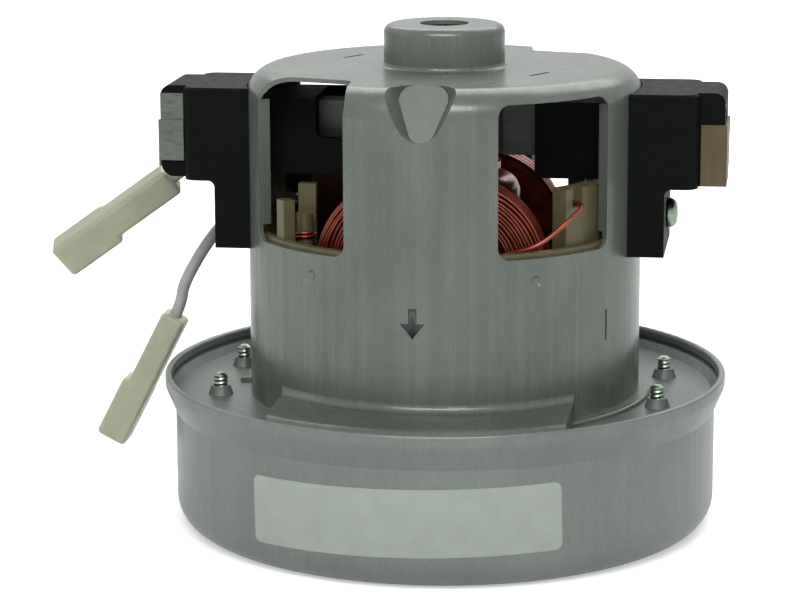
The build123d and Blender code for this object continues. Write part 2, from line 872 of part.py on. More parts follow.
def coil_former():
    """The arched block on a pole that holds the coil's head up."""
    half_width = coil_inner_half_width - former_gap
    top_r = half_width - coil_top_centre_x
    face = outline([
        (-half_width, stack_top_z),
        (half_width, stack_top_z),
        (half_width, coil_top_centre_z + top_r, top_r),
        (-half_width, coil_top_centre_z + top_r, top_r),
    ])
    depth = coil_front_y - wire_pitch - coil_back_y
    former = extrude(Pos(0, -coil_back_y, 0) * (Plane.XZ * face), depth)
    return former - rod(pole_bore_r + air_gap, stack_top_z, can_top_z)


def terminal_block():
    """A curved block behind the window with a slot for a wire."""
    middle = (terminal_block_start + terminal_block_end) / 2
    block = sector([
        (terminal_block_inner_r, stack_top_z),
        (terminal_block_outer_r, stack_top_z),
        (terminal_block_outer_r, terminal_block_z),
        (terminal_block_inner_r, terminal_block_z),
    ], middle, (terminal_block_end - terminal_block_start) / 2)
    depth = (terminal_block_inner_r + terminal_block_outer_r) / 2
    slot = slab(-terminal_slot_width / 2, terminal_slot_width / 2, -(can_r + overrun), -depth,
                terminal_slot_z, terminal_block_z + overrun)
    return block - about_axis(slot, terminal_slot_azimuth)


def wire_posts():
    """The rib and the peg on the other side of the front pole."""
    rib_r = can_bore_r - post_inset
    rib = slab(-post_width / 2, post_width / 2, -rib_r, -(rib_r - post_depth), stack_top_z, post_z)
    peg = Pos(-peg_x, -peg_y, 0) * rod(peg_r, stack_top_z, peg_z)
    back_x = peg_x - peg_back_width / 2
    back = slab(-(back_x + peg_back_width), -back_x, -peg_back_y, -(peg_back_y - peg_back_depth),
                stack_top_z, peg_back_z)
    web_y = peg_y + peg_r
    web = slab(-yoke_inner_r, -peg_web_x, -web_y, -(web_y - peg_web_depth),
               stack_top_z, stack_top_z + insulator_sheet)
    return about_axis(rib, -post_azimuth) + peg + back + web


def lead_heading():
    return Vector(sin(radians(lead_azimuth)), -cos(radians(lead_azimuth)), 0)


def lead_boss(height):
    """The stub that a lead wire leaves the insulator from."""
    heading = lead_heading()
    foot = Vector(lead_start_x, lead_start_y, height) - heading * lead_boss_length
    return extrude(Plane(origin=foot, z_dir=heading) * Circle(lead_boss_r), lead_boss_length)


def upper_field_insulator():
    body = Pos(0, 0, stack_top_z) * extrude(insulator_face(), insulator_sheet)
    rim_r_out = lamination_r - air_gap
    body = body + ring(rim_r_out - insulator_rim, rim_r_out, stack_top_z, insulator_rim_z)
    for pole in (0, turn / 2):
        body = body + about_axis(coil_former(), pole)
        body = body + about_axis(terminal_block(), pole)
        body = body + about_axis(wire_posts(), pole)
    for height in (upper_lead_z, lower_lead_z):
        body = body + lead_boss(height)
    return body


def lower_field_insulator():
    sheet = insulator_sheet - air_gap
    body = Pos(0, 0, stack_bottom_z - sheet) * extrude(insulator_face(), sheet)
    rim_r_out = lamination_r - air_gap
    return body + ring(rim_r_out - insulator_rim, rim_r_out, stack_bottom_z - insulator_rim_z + stack_top_z,
                       stack_bottom_z)


def jumper_wire():
    """The wire from the front coil's foot, up across the window, to the terminal block's slot."""
    points = [Vector(*point) for point in jumper_route]
    return swept_tube(rounded_route(points, "jumper wire"), jumper_d, "jumper wire")


# Brush gear, made on the +X side
def brush_holder():
    seat = rod(can_r + fit_gap, 0, cup_top_z)
    body = slab(core_x, holder_x, -holder_half_width, holder_half_width, holder_bottom_z, holder_top_z)
    upright = body.edges().filter_by(Axis.Z).group_by(Axis.X)[-1]
    body = fillet(upright, holder_round)
    rim = body.faces().sort_by(Axis.Z)[-1].edges()
    body = chamfer(rim, holder_edge)
    leg = slab(core_x, leg_x, -holder_half_width, holder_half_width, leg_bottom_z, holder_bottom_z)
    corner_z = holder_bottom_z - leg_root_round
    root_x = leg_x + leg_root_round
    root = slab(leg_x, root_x, -holder_half_width, holder_half_width, corner_z, holder_bottom_z)
    hollow = Pos(root_x, 0, corner_z) * (Rot(turn / 4, 0, 0) * Cylinder(leg_root_round, can_r * 2))
    nose_side = outline([
        (leg_x, nose_bottom_z),
        (nose_x, nose_bottom_z, nose_bottom_round),
        (nose_x, holder_top_z, nose_top_round),
        (leg_x, holder_top_z),
    ])
    nose = Pos(0, nose_half_width, 0) * extrude(Plane.XZ * nose_side, 2 * nose_half_width)
    outside = body + leg + (root - hollow) + nose
    outside = outside - seat
    core = slab(core_x, holder_x - holder_round, -core_half_width, core_half_width, core_bottom_z, core_top_z)
    wing = slab(wing_x, core_x + overrun, -core_half_width, -(core_half_width - wing_wall),
                core_bottom_z, core_top_z)
    low_wing = outline([
        (wing_x, core_bottom_z),
        (core_x + overrun, core_bottom_z),
        (core_x + overrun, core_top_z),
        (core_x - holder_edge, core_top_z),
        (core_x - holder_edge, wing_cut_z, wing_cut_round),
        (wing_x, wing_cut_z),
    ])
    low_wing = Pos(0, core_half_width, 0) * extrude(Plane.XZ * low_wing, wing_wall)
    holder = outside + core + wing + low_wing
    pocket_y = tube_half_y + fit_gap
    pocket_z = tube_half_z + fit_gap
    pocket = slab(0, nose_x + overrun, -pocket_y, pocket_y, brush_z - pocket_z, brush_z + pocket_z)
    screw_hole = pin_along_x(holder_screw_r + slip_gap, core_x, leg_x + overrun, holder_screw_z)
    return holder - pocket - screw_hole


def brush_tube():
    outer = slab(tube_x, tube_end_x, -tube_half_y, tube_half_y, brush_z - tube_half_z, brush_z + tube_half_z)
    bore_y = tube_half_y - tube_wall
    bore_z = tube_half_z - tube_wall
    bore = slab(0, nose_x + overrun, -bore_y, bore_y, brush_z - bore_z, brush_z + bore_z)
    return outer - bore


def carbon_brush():
    blank = slab(0, brush_back_x, -brush_width / 2, brush_width / 2,
                 brush_z - brush_height / 2, brush_z + brush_height / 2)
    return blank - rod(commutator_r + slip_gap / 2, 0, cup_top_z)


def brush_spring():
    outer = pin_along_x(spring_r, brush_back_x + fit_gap, nose_x - fit_gap, brush_z)
    return outer - pin_along_x(spring_r - spring_wire, 0, nose_x + overrun, brush_z)


def brush_shunt():
    return pin_along_x(shunt_r, brush_back_x + fit_gap, nose_x - fit_gap, brush_z)


def brush_cap():
    """The brass strip on the nose's front side that closes the brush tube."""
    side_y = -(nose_half_width + fit_gap)
    side = slab(holder_x + cap_back, nose_x + fit_gap + strip_sheet, side_y - strip_sheet, side_y,
                cap_bottom_z, cap_top_z)
    end = slab(nose_x + fit_gap, nose_x + fit_gap + strip_sheet, side_y, cap_wrap, cap_bottom_z, cap_top_z)
    return side + end


def brush_clip():
    """The tinned strip on the nose's other side, with its connection tab."""
    side_y = nose_half_width + fit_gap
    end_x = nose_x + fit_gap
    start_x = holder_x + cap_back
    side = slab(start_x, end_x + strip_sheet, side_y, side_y + strip_sheet, clip_bottom_z, clip_step_z)
    upper = slab(start_x, end_x, side_y, side_y + strip_sheet - clip_step, clip_step_z, clip_top_z)
    tab = slab(end_x, end_x + strip_sheet, side_y - tab_width, side_y + strip_sheet,
               tab_bottom_z, tab_bottom_z + tab_height)
    return side + upper + tab


def holder_screw():
    shank = pin_along_x(holder_screw_r, can_bore_r - holder_screw_reach, leg_x + fit_gap, holder_screw_z)
    head = turned([
        (0, 0),
        (holder_screw_head_r, 0),
        (holder_screw_head_r, holder_screw_head, holder_screw_round),
        (0, holder_screw_head),
    ])
    return shank + Pos(leg_x + fit_gap, 0, holder_screw_z) * (Rot(0, turn / 4, 0) * head)


# Bearings
def race_groove(z_from):
    middle = z_from + bearing_width / 2
    return Pos(0, 0, middle) * Torus(bearing_pitch_r, ball_r + ball_gap)


def bearing_outer_ring(z_from):
    body = ring(bearing_r - bearing_outer_race, bearing_r, z_from, z_from + bearing_width)
    return body - race_groove(z_from)


def bearing_inner_ring(z_from):
    body = ring(shaft_r + fit_gap, shaft_r + bearing_inner_race, z_from, z_from + bearing_width)
    return body - race_groove(z_from)


def ball_places(z_from):
    middle = z_from + bearing_width / 2
    step = turn / ball_count
    return [Rot(0, 0, index * step) * Pos(bearing_pitch_r, 0, middle) for index in range(ball_count)]


def bearing_balls(z_from):
    return group(place * Sphere(ball_r) for place in ball_places(z_from))


def bearing_cage(z_from):
    middle = z_from + bearing_width / 2
    cage = ring(bearing_pitch_r - cage_half_width, bearing_pitch_r + cage_half_width,
                middle - cage_half_height, middle + cage_half_height)
    pocket = Rot(0, turn / 4, 0) * Cylinder(ball_r + ball_gap, bearing_r)
    for place in ball_places(z_from):
        cage = cage - place * pocket
    return cage


def bearing_shields(z_from):
    inner_r = shaft_r + bearing_inner_race + air_gap
    outer_r = bearing_r - bearing_outer_race
    z_to = z_from + bearing_width
    return group([
        ring(inner_r, outer_r, z_from, z_from + shield_sheet),
        ring(inner_r, outer_r, z_to - shield_sheet, z_to),
    ])


def bearing_sleeve():
    """The rubber sleeve between the upper bearing and the can's cup."""
    inner_r = bearing_r + fit_gap
    outer_r = cup_bore_r - fit_gap
    bearing_top_z = upper_bearing_z + bearing_width + fit_gap
    return turned([
        (inner_r, upper_bearing_z - sleeve_foot),
        (outer_r - sleeve_foot, upper_bearing_z - sleeve_foot),
        (outer_r, upper_bearing_z + sleeve_foot),
        (outer_r, bearing_top_z + sleeve_roof, sleeve_roof),
        (inner_r - sleeve_lip, bearing_top_z + sleeve_roof),
        (inner_r - sleeve_lip, bearing_top_z),
        (inner_r, bearing_top_z),
    ])


# Rotor
def shaft():
    return rod(shaft_r, shaft_bottom_z, shaft_top_z)


def slot_places():
    return [index * turn / slot_count for index in range(slot_count)]


def slot_face(gap):
    """One armature slot at azimuth zero, a wide pocket behind a narrow mouth."""
    pocket_top = -(armature_r - slot_roof - gap)
    pocket_foot = -(armature_r - slot_depth + gap)
    half = slot_width / 2 - gap
    return outline([(-half, pocket_foot), (half, pocket_foot), (half, pocket_top), (-half, pocket_top)])


def armature_core():
    face = Circle(armature_r) - Circle(shaft_r + fit_gap)
    mouth = Pos(0, -armature_r, 0) * Rectangle(slot_mouth, 2 * slot_roof + slot_width)
    for azimuth in slot_places():
        face = face - Rot(0, 0, azimuth) * (slot_face(0) + mouth)
    return Pos(0, 0, stack_bottom_z) * extrude(face, stack_top_z - stack_bottom_z)


def armature_winding():
    """Slot sides and both end heads of the armature's coils."""
    head_foot_z = stack_top_z + end_disc + fit_gap
    winding = turned([
        (coil_head_bore_r, head_foot_z),
        (coil_head_r, head_foot_z),
        (coil_head_r, coil_head_top_z, coil_head_round),
        (coil_head_bore_r, coil_head_top_z),
    ])
    tail_top_z = stack_bottom_z - end_disc - fit_gap
    winding = winding + turned([
        (coil_head_bore_r, coil_head_bottom_z),
        (coil_head_r, coil_head_bottom_z, coil_head_round),
        (coil_head_r, tail_top_z),
        (coil_head_bore_r, tail_top_z),
    ])
    side = Pos(0, 0, tail_top_z) * extrude(slot_face(slot_fill_gap), head_foot_z - tail_top_z)
    for azimuth in slot_places():
        winding = winding + about_axis(side, azimuth)
    return winding


def armature_insulation():
    """A fibre disc on each end of the core, notched where the coils pass."""
    face = Circle(end_disc_r) - Circle(shaft_r + fit_gap)
    notch = Pos(0, -(armature_r - slot_depth / 2), 0) * Rectangle(slot_width, slot_depth)
    for azimuth in slot_places():
        face = face - Rot(0, 0, azimuth) * notch
    upper = Pos(0, 0, stack_top_z) * extrude(face, end_disc)
    lower = Pos(0, 0, stack_bottom_z - end_disc) * extrude(face, end_disc)
    return group([upper, lower])


def commutator_bars():
    """Copper bars with a riser each, parted by narrow slots."""
    blank = turned([
        (bar_inner_r, bar_bottom_z),
        (riser_r, bar_bottom_z),
        (riser_r, bar_bottom_z + riser_height),
        (commutator_r, bar_bottom_z + riser_height),
        (commutator_r, bar_top_z),
        (bar_inner_r, bar_top_z),
    ])
    half_pitch = turn / bar_count / 2
    pitch_cut = bar_slot / 2 / sin(radians(half_pitch))
    reach = riser_r + overrun
    wedge = make_face(Polyline(
        (0, -pitch_cut),
        (reach * sin(radians(half_pitch)), -pitch_cut - reach * cos(radians(half_pitch))),
        (-reach * sin(radians(half_pitch)), -pitch_cut - reach * cos(radians(half_pitch))),
        close=True,
    ))
    bar = blank & extrude(wedge, cup_top_z)
    return group(about_axis(bar, index * turn / bar_count) for index in range(bar_count))


def commutator_hub():
    return ring(shaft_r + fit_gap, bar_inner_r - fit_gap,
                bar_bottom_z - hub_overhang, bar_top_z + hub_overhang)


def upper_rotor_spacer():
    return ring(shaft_r + fit_gap, spacer_r, bar_top_z + hub_overhang + fit_gap, upper_bearing_z - fit_gap)


def lower_rotor_spacer():
    top_z = stack_bottom_z - end_disc - fit_gap
    return ring(shaft_r + fit_gap, spacer_r, lower_bearing_z + bearing_width + fit_gap, top_z)


def fan_spacer():
    top_z = lower_bearing_z - fit_gap
    return ring(shaft_r + fit_gap, spacer_r, fan_back_z + fit_gap + washer_thickness / 2, top_z)


# Fan
def shroud_corners(lift):
    """The front shroud's profile, moved up by the sheet for its inner side."""
    knee_z = fan_shroud_inner_z + lift
    return [
        (fan_eye_r - lift, fan_neck_z),
        (fan_eye_r - lift, knee_z),
        (fan_shroud_knee_r, knee_z),
        (fan_r, fan_shroud_outer_z + lift),
    ]


def impeller_front_shroud():
    lower = shroud_corners(0)
    upper = shroud_corners(fan_sheet)
    return turned(lower + upper[::-1])


def impeller_back_plate():
    return ring(shaft_r + fit_gap, fan_r, fan_back_z - fan_sheet, fan_back_z)


def impeller_blade():
    """One swept blade, cut to the space between the front shroud and the back plate."""
    start = Vector(0, -blade_inner_r, 0)
    end = Vector(0, -blade_outer_r, 0).rotate(Axis.Z, blade_sweep)
    middle = Vector(0, -(blade_inner_r + blade_outer_r) / 2, 0).rotate(Axis.Z, blade_bow)
    strip = trace(ThreePointArc(start, middle, end), fan_sheet)
    blade = extrude(strip, fan_back_z - fan_sheet - fit_gap)
    corners = shroud_corners(fan_sheet + fit_gap)[1:]
    top_z = fan_back_z
    room = turned([corners[0], corners[1], corners[2], (fan_r, top_z), (corners[0][0], top_z)])
    return blade & room


def impeller_blades():
    blade = impeller_blade()
    return group(about_axis(blade, index * turn / blade_count) for index in range(blade_count))


def fan_washers():
    upper = ring(shaft_r + fit_gap, washer_r, fan_back_z, fan_back_z + washer_thickness / 2)
    lower_z = fan_back_z - fan_sheet
    lower = ring(shaft_r + fit_gap, washer_r, lower_z - washer_thickness, lower_z)
    return group([upper, lower])


def fan_nut():
    top_z = fan_back_z - fan_sheet - washer_thickness
    corner_r = nut_flats / 2 / cos(radians(turn / 12))
    hexagon = RegularPolygon(corner_r, 6) - Circle(shaft_r + fit_gap)
    return Pos(0, 0, top_z - nut_height) * extrude(hexagon, nut_height)


# Lead wires and connectors
def rounded_route(points, label):
    """Straight runs joined by arcs as large as the shorter run beside each corner allows."""
    radii = []
    for before, point, after in zip(points, points[1:], points[2:]):
        arriving = point - before
        leaving = after - point
        half = radians(arriving.get_angle(leaving)) / 2
        run_share = 0.45
        radii.append(run_share * min(arriving.length, leaving.length) / tan(half))
    print(f"{label}: radii " + ", ".join(f"{radius:.1f}" for radius in radii))
    return FilletPolyline(*points, radius=radii)


def connector_axis(rear, mouth):
    return (Vector(*mouth) - Vector(*rear)).normalized()


def lead_wire(height, route, rear, mouth, last_run, label):
    """A wire from the insulator's stub to the rear of its connector."""
    axis = connector_axis(rear, mouth)
    seat = Vector(*rear) + axis * connector_seat
    start = Vector(lead_start_x, lead_start_y, height)
    points = [start, start + lead_heading() * lead_first_run] + [Vector(*point) for point in route]
    points += [Vector(*rear) - axis * last_run, seat]
    return swept_tube(rounded_route(points, label), lead_d, label)


def connector_frame(rear, mouth, roll):
    """The connector's own frame: Z from its rear to its mouth, turned about it by the roll."""
    axis = connector_axis(rear, mouth)
    upright = Plane(origin=Vector(*rear), x_dir=axis.cross(Vector(0, 1, 0)), z_dir=axis)
    return upright.location * Rot(0, 0, roll)


def soft_block(width, thickness, z_from, z_to):
    """An upright block on the connector's axis with all its edges rounded."""
    block = slab(-width / 2, width / 2, -thickness / 2, thickness / 2, z_from, z_to)
    return fillet(block.edges(), connector_edge)


def connector_housing(frame):
    """A nylon sleeve with a wide mouth, a narrower neck and a wire hole at its rear."""
    step_z = connector_length - connector_wide_length
    shift_x = (connector_width - connector_neck_width) / 2
    shift_y = (connector_thickness - connector_neck_thickness) / 2
    neck = soft_block(connector_neck_width, connector_neck_thickness, 0, step_z + 2 * connector_edge)
    wide = soft_block(connector_width, connector_thickness, step_z, connector_length)
    cavity = Pos(0, 0, connector_seat) * extrude(
        Rectangle(connector_neck_width - 2 * connector_wall, connector_neck_thickness - 2 * connector_wall),
        connector_length)
    bore = Pos(0, 0, -overrun) * extrude(Circle(connector_bore_r), connector_seat + 2 * overrun)
    return frame * (neck + Pos(shift_x, -shift_y, 0) * wide - cavity - bore)


def connector_terminal(frame):
    """The crimped receptacle inside a connector."""
    box_z = connector_length - receptacle_inset - receptacle_length
    width = connector_neck_width - 2 * connector_wall - 2 * fit_gap
    box = Pos(0, 0, box_z) * extrude(Rectangle(width, receptacle_height), receptacle_length)
    hollow = Pos(0, 0, box_z - overrun) * extrude(
        Rectangle(width - 2 * receptacle_sheet, receptacle_height - 2 * receptacle_sheet),
        receptacle_length + 2 * overrun)
    barrel = Pos(0, 0, connector_seat + fit_gap) * extrude(Circle(crimp_r), box_z - connector_seat)
    return frame * (box - hollow + barrel)


def main():
    upper_frame = connector_frame(upper_rear, upper_mouth, upper_roll)
    lower_frame = connector_frame(lower_rear, lower_mouth, lower_roll)
    coil_core = field_coil_core()
    coil_winding = field_coil_winding()
    jumper = jumper_wire()
    screw = holder_screw()
    parts = {
        "fan_cover": fan_cover(),
        "intake_seal": intake_seal(),
        "rating_label": rating_label(),
        "bracket_plate": bracket_plate(),
        "bracket_screws": bracket_screws(),
        "diffuser": diffuser(),
        "motor_can": motor_can(),
        "stator_core": stator_core(),
        "upper_field_insulator": upper_field_insulator(),
        "lower_field_insulator": lower_field_insulator(),
        "front_field_coil_core": coil_core,
        "back_field_coil_core": half_turn(coil_core),
        "front_field_winding": coil_winding,
        "back_field_winding": half_turn(coil_winding),
        "front_coil_jumper": jumper,
        "back_coil_jumper": half_turn(jumper),
        "upper_bearing_sleeve": bearing_sleeve(),
        "shaft": shaft(),
        "armature_core": armature_core(),
        "armature_winding": armature_winding(),
        "armature_insulation": armature_insulation(),
        "commutator_bars": commutator_bars(),
        "commutator_hub": commutator_hub(),
        "upper_rotor_spacer": upper_rotor_spacer(),
        "lower_rotor_spacer": lower_rotor_spacer(),
        "fan_spacer": fan_spacer(),
        "impeller_front_shroud": impeller_front_shroud(),
        "impeller_back_plate": impeller_back_plate(),
        "impeller_blades": impeller_blades(),
        "fan_washers": fan_washers(),
        "fan_nut": fan_nut(),
        "upper_lead_wire": lead_wire(upper_lead_z, upper_route, upper_rear, upper_mouth,
                                     upper_last_run, "upper lead"),
        "lower_lead_wire": lead_wire(lower_lead_z, lower_route, lower_rear, lower_mouth,
                                     lower_last_run, "lower lead"),
        "upper_lead_connector": connector_housing(upper_frame),
        "lower_lead_connector": connector_housing(lower_frame),
        "lead_terminals": group([connector_terminal(upper_frame), connector_terminal(lower_frame)]),
        "bearing_shields": group([bearing_shields(upper_bearing_z), bearing_shields(lower_bearing_z)]),
        "holder_screws": group([screw, half_turn(screw)]),
    }
    for side, z_from in (("upper", upper_bearing_z), ("lower", lower_bearing_z)):
        parts[f"{side}_bearing_outer_ring"] = bearing_outer_ring(z_from)
        parts[f"{side}_bearing_inner_ring"] = bearing_inner_ring(z_from)
        parts[f"{side}_bearing_balls"] = bearing_balls(z_from)
        parts[f"{side}_bearing_cage"] = bearing_cage(z_from)
    brush_gear = {
        "brush_holder": brush_holder(),
        "brush_tube": brush_tube(),
        "carbon_brush": carbon_brush(),
        "brush_spring": brush_spring(),
        "brush_shunt": brush_shunt(),
        "brush_cap": brush_cap(),
        "brush_clip": brush_clip(),
    }
    for name, shape in brush_gear.items():
        parts[f"right_{name}"] = shape
        parts[f"left_{name}"] = half_turn(shape)
    os.makedirs("parts", exist_ok=True)
    for name, shape in parts.items():
        solids = shape.solids()
        node = solids[0] if len(solids) == 1 else Compound(solids)
        export_step(node, f"parts/{name}.step")
        print(f"{name}: {len(solids)} solids, {node.volume:.1f} mm3, valid {node.is_valid}")
    print(f"{len(parts)} nodes written")


main()
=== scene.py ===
# %% [markdown]
# # A vacuum motor unit
# The motor's solid model arrives packed, in metres, with every piece in its
# place. This script gives each piece its surface, and makes the few pieces that
# need finer shapes than the solids have: windings, threads, wires and springs.

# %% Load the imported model
import math

import bpy
import numpy as np
from mathutils import Matrix


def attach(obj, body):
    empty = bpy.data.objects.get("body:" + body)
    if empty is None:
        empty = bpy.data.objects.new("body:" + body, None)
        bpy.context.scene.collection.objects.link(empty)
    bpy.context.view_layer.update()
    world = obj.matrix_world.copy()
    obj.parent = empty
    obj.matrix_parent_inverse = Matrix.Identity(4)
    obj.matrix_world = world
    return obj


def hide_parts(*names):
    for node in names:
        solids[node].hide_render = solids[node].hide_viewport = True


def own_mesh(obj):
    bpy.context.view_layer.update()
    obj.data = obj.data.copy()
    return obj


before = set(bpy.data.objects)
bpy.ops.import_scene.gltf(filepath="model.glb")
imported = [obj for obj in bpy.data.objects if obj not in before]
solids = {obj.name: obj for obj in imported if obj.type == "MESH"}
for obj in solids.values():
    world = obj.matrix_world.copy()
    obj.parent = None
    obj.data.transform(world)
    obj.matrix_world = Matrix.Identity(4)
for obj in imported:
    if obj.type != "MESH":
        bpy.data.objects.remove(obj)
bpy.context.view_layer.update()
MM = 0.001
TURN = 2 * math.pi

# %% [markdown]
# ## Camera
# The picture was taken from a little above and to the right of the front
# pillar, from about seventy centimetres. The viewing angles are written as
# pitch, roll and yaw, and the three axes are built from them, so that each
# number keeps its meaning.

# %% Camera
CAMERA_DISTANCE = 0.7
CAMERA_HEIGHT = 0.20381
PITCH, ROLL, YAW = (math.radians(a) for a in (12.233, 0.2683, -0.975))
OBJECT_TURN = math.radians(7.2)
FOCAL_LENGTH = 133.03
SENSOR_WIDTH = 36


def turned_about_z(vector, angle):
    """The vector after a turn by the angle about Z."""
    c, s = math.cos(angle), math.sin(angle)
    x, y, z = vector
    return np.array([c * x - s * y, s * x + c * y, z])


right = np.array([math.cos(YAW), -math.sin(YAW), 0])
ahead = np.array([math.sin(YAW) * math.cos(PITCH), math.cos(YAW) * math.cos(PITCH), -math.sin(PITCH)])
up = np.cross(right, ahead)
camera_x = math.cos(ROLL) * right - math.sin(ROLL) * up
camera_y = math.sin(ROLL) * right + math.cos(ROLL) * up
camera_place = (0, -CAMERA_DISTANCE, CAMERA_HEIGHT)
columns = [turned_about_z(v, OBJECT_TURN) for v in (camera_x, camera_y, -ahead, camera_place)]
matrix = np.eye(4)
matrix[:3, :] = np.array(columns).T

camera_data = bpy.data.cameras.new("camera")
camera_data.sensor_width = SENSOR_WIDTH
camera_data.lens = FOCAL_LENGTH
camera = bpy.data.objects.new("camera", camera_data)
bpy.context.scene.collection.objects.link(camera)
camera.matrix_world = Matrix(matrix.tolist())
bpy.context.scene.camera = camera
print("camera at", [round(float(v), 4) for v in matrix[:3, 3]])

# %% [markdown]
# ## Lead wires
# Each lead is a stranded wire in a soft grey jacket. It leaves the insulator
# behind the left brush holder and ends in its connector. A NURBS curve with a
# few route points bends as evenly as a real wire, and a round bevel gives it
# its thickness.

# %% Lead wires
LEAD_DIAMETER = 3.0 * MM
UPPER_LEAD_ROUTE = [(-33.53, 31.49, 84.3), (-42.28, 34.33, 84.3), (-51.2, 29.2, 86.6), (-58.2, 21.4, 88.2),
                    (-64.50, 16.0, 84.74), (-76.84, 16.0, 75.87)]
LOWER_LEAD_ROUTE = [(-33.53, 31.49, 77.3), (-42.28, 34.33, 77.3), (-51.8, 27.0, 73.6), (-60.0, 17.4, 67.6),
                    (-68.3, 14.0, 53.6), (-68.83, 14.0, 47.87), (-73.62, 14.0, 38.52)]


def lead_curve(name, route):
    """A round wire on a smooth curve whose control points are the route's points."""
    curve = bpy.data.curves.new(name, "CURVE")
    curve.dimensions = "3D"
    spline = curve.splines.new("NURBS")
    spline.points.add(len(route) - 1)
    for point, place in zip(spline.points, route):
        point.co = (place[0] * MM, place[1] * MM, place[2] * MM, 1)
        point.radius = LEAD_DIAMETER / 2
    spline.order_u = 3
    spline.use_endpoint_u = True
    curve.resolution_u = 16
    curve.bevel_depth = 1.0
    curve.bevel_resolution = 6
    curve.use_fill_caps = True
    wire = bpy.data.objects.new(name, curve)
    bpy.context.scene.collection.objects.link(wire)
    return wire


leads = {}
for level, route, length in (("upper", UPPER_LEAD_ROUTE, 0.0529), ("lower", LOWER_LEAD_ROUTE, 0.0666)):
    wire = lead_curve(f"{level}_lead", route)
    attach(wire, "housing")
    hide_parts(f"{level}_lead_wire")
    leads[level] = wire
    print(wire.name, "has", len(route), "route points")

# %% [markdown]
# ## A shared way to make finishes
# No surface has one flat colour. A finish here starts from noise in the
# object's own coordinates, so it sits still on the piece, and the noise drives
# colour and roughness a little. A second, finer noise makes the bump. Stretching
# the noise along one axis turns it into brush or draw marks.

# %% A material with noise in colour, roughness and bump
def noise_fac(tree, scale, detail=4.0, roughness=0.55, offset=(0, 0, 0)):
    """A noise value read from Object coordinates, with its own scale along each axis, per metre."""
    place = tree.nodes.new("ShaderNodeTexCoord")
    mapping = tree.nodes.new("ShaderNodeMapping")
    mapping.inputs["Scale"].default_value = scale
    mapping.inputs["Location"].default_value = offset
    noise = tree.nodes.new("ShaderNodeTexNoise")
    noise.inputs["Scale"].default_value = 1.0
    noise.inputs["Detail"].default_value = detail
    noise.inputs["Roughness"].default_value = roughness
    tree.links.new(place.outputs["Object"], mapping.inputs["Vector"])
    tree.links.new(mapping.outputs["Vector"], noise.inputs["Vector"])
    return noise.outputs["Fac"]


def ramp(tree, value, stops):
    """Colours at positions from 0 to 1, read by a value."""
    node = tree.nodes.new("ShaderNodeValToRGB")
    band = node.color_ramp
    while len(band.elements) < len(stops):
        band.elements.new(0.5)
    for element, (position, colour) in zip(band.elements, stops):
        element.position = position
        element.color = (*colour, 1.0)
    tree.links.new(value, node.inputs["Fac"])
    return node.outputs["Color"]


def spread(tree, value, low, high, low_in=0.3, high_in=0.7):
    """The value, carried from its usual range to another."""
    node = tree.nodes.new("ShaderNodeMapRange")
    node.inputs["From Min"].default_value = low_in
    node.inputs["From Max"].default_value = high_in
    node.inputs["To Min"].default_value = low
    node.inputs["To Max"].default_value = high
    tree.links.new(value, node.inputs["Value"])
    return node.outputs["Result"]


def blended(tree, factor, first, second, kind="MIX"):
    """Two colours mixed by a factor, which is a number or a socket."""
    node = tree.nodes.new("ShaderNodeMix")
    node.data_type = "RGBA"
    node.blend_type = kind
    if isinstance(factor, float):
        node.inputs["Factor"].default_value = factor
    else:
        tree.links.new(factor, node.inputs["Factor"])
    tree.links.new(first, node.inputs[6])
    tree.links.new(second, node.inputs[7])
    return node.outputs[2]


def bumped(tree, value, strength, depth):
    """A surface normal tilted by a height value, depth in metres."""
    node = tree.nodes.new("ShaderNodeBump")
    node.inputs["Strength"].default_value = strength
    node.inputs["Distance"].default_value = depth
    tree.links.new(value, node.inputs["Height"])
    return node.outputs["Normal"]


def empty_finish(name, metallic=0.0, **sockets):
    """A new material with its shader; the named sockets take plain values."""
    material = bpy.data.materials.new(name)
    material.use_nodes = True
    shader = material.node_tree.nodes["Principled BSDF"]
    shader.inputs["Metallic"].default_value = metallic
    for socket, value in sockets.items():
        shader.inputs[socket.replace("_", " ")].default_value = value
    return material, material.node_tree, shader


def noisy_finish(name, dark, light, grain, rough, metallic=0.0, stretch=(1, 1, 1), bump=0.15, depth=0.00002,
                 fine=4.0, **sockets):
    """A finish between two colours.

    grain is the size of its mottling in metres, and fine divides it for the bump.
    """
    material, tree, shader = empty_finish(name, metallic, **sockets)
    scale = tuple(s / grain for s in stretch)
    value = noise_fac(tree, scale)
    tree.links.new(ramp(tree, value, [(0.3, dark), (0.7, light)]), shader.inputs["Base Color"])
    tree.links.new(spread(tree, value, *rough), shader.inputs["Roughness"])
    small = noise_fac(tree, tuple(fine * s for s in scale), detail=6.0, offset=(0.3, 0.7, 0.1))
    tree.links.new(bumped(tree, small, bump, depth), shader.inputs["Normal"])
    return material


def dress(material, *names):
    """Give a material to solids by their names."""
    for name in names:
        mesh = solids[name].data
        mesh.materials.clear()
        mesh.materials.append(material)
    print(material.name, "on", ", ".join(names))


# %% [markdown]
# ## Drawn steel
# The can and the drum are pressed from zinc-coated sheet. Drawing the sheet
# through the die leaves upright streaks on the walls, lighter and darker, over a
# soft cloudy tone. Streaks come from noise that is stretched eighty-four times
# along the shaft, clouds and fine specks from rounder noise, and the three are
# multiplied.

# %% Zinc-coated drawn steel
STREAKS_PER_METRE = (420, 420, 5)
CLOUDS_PER_METRE = (45, 45, 30)
SPECKS_PER_METRE = (1500, 1500, 1100)


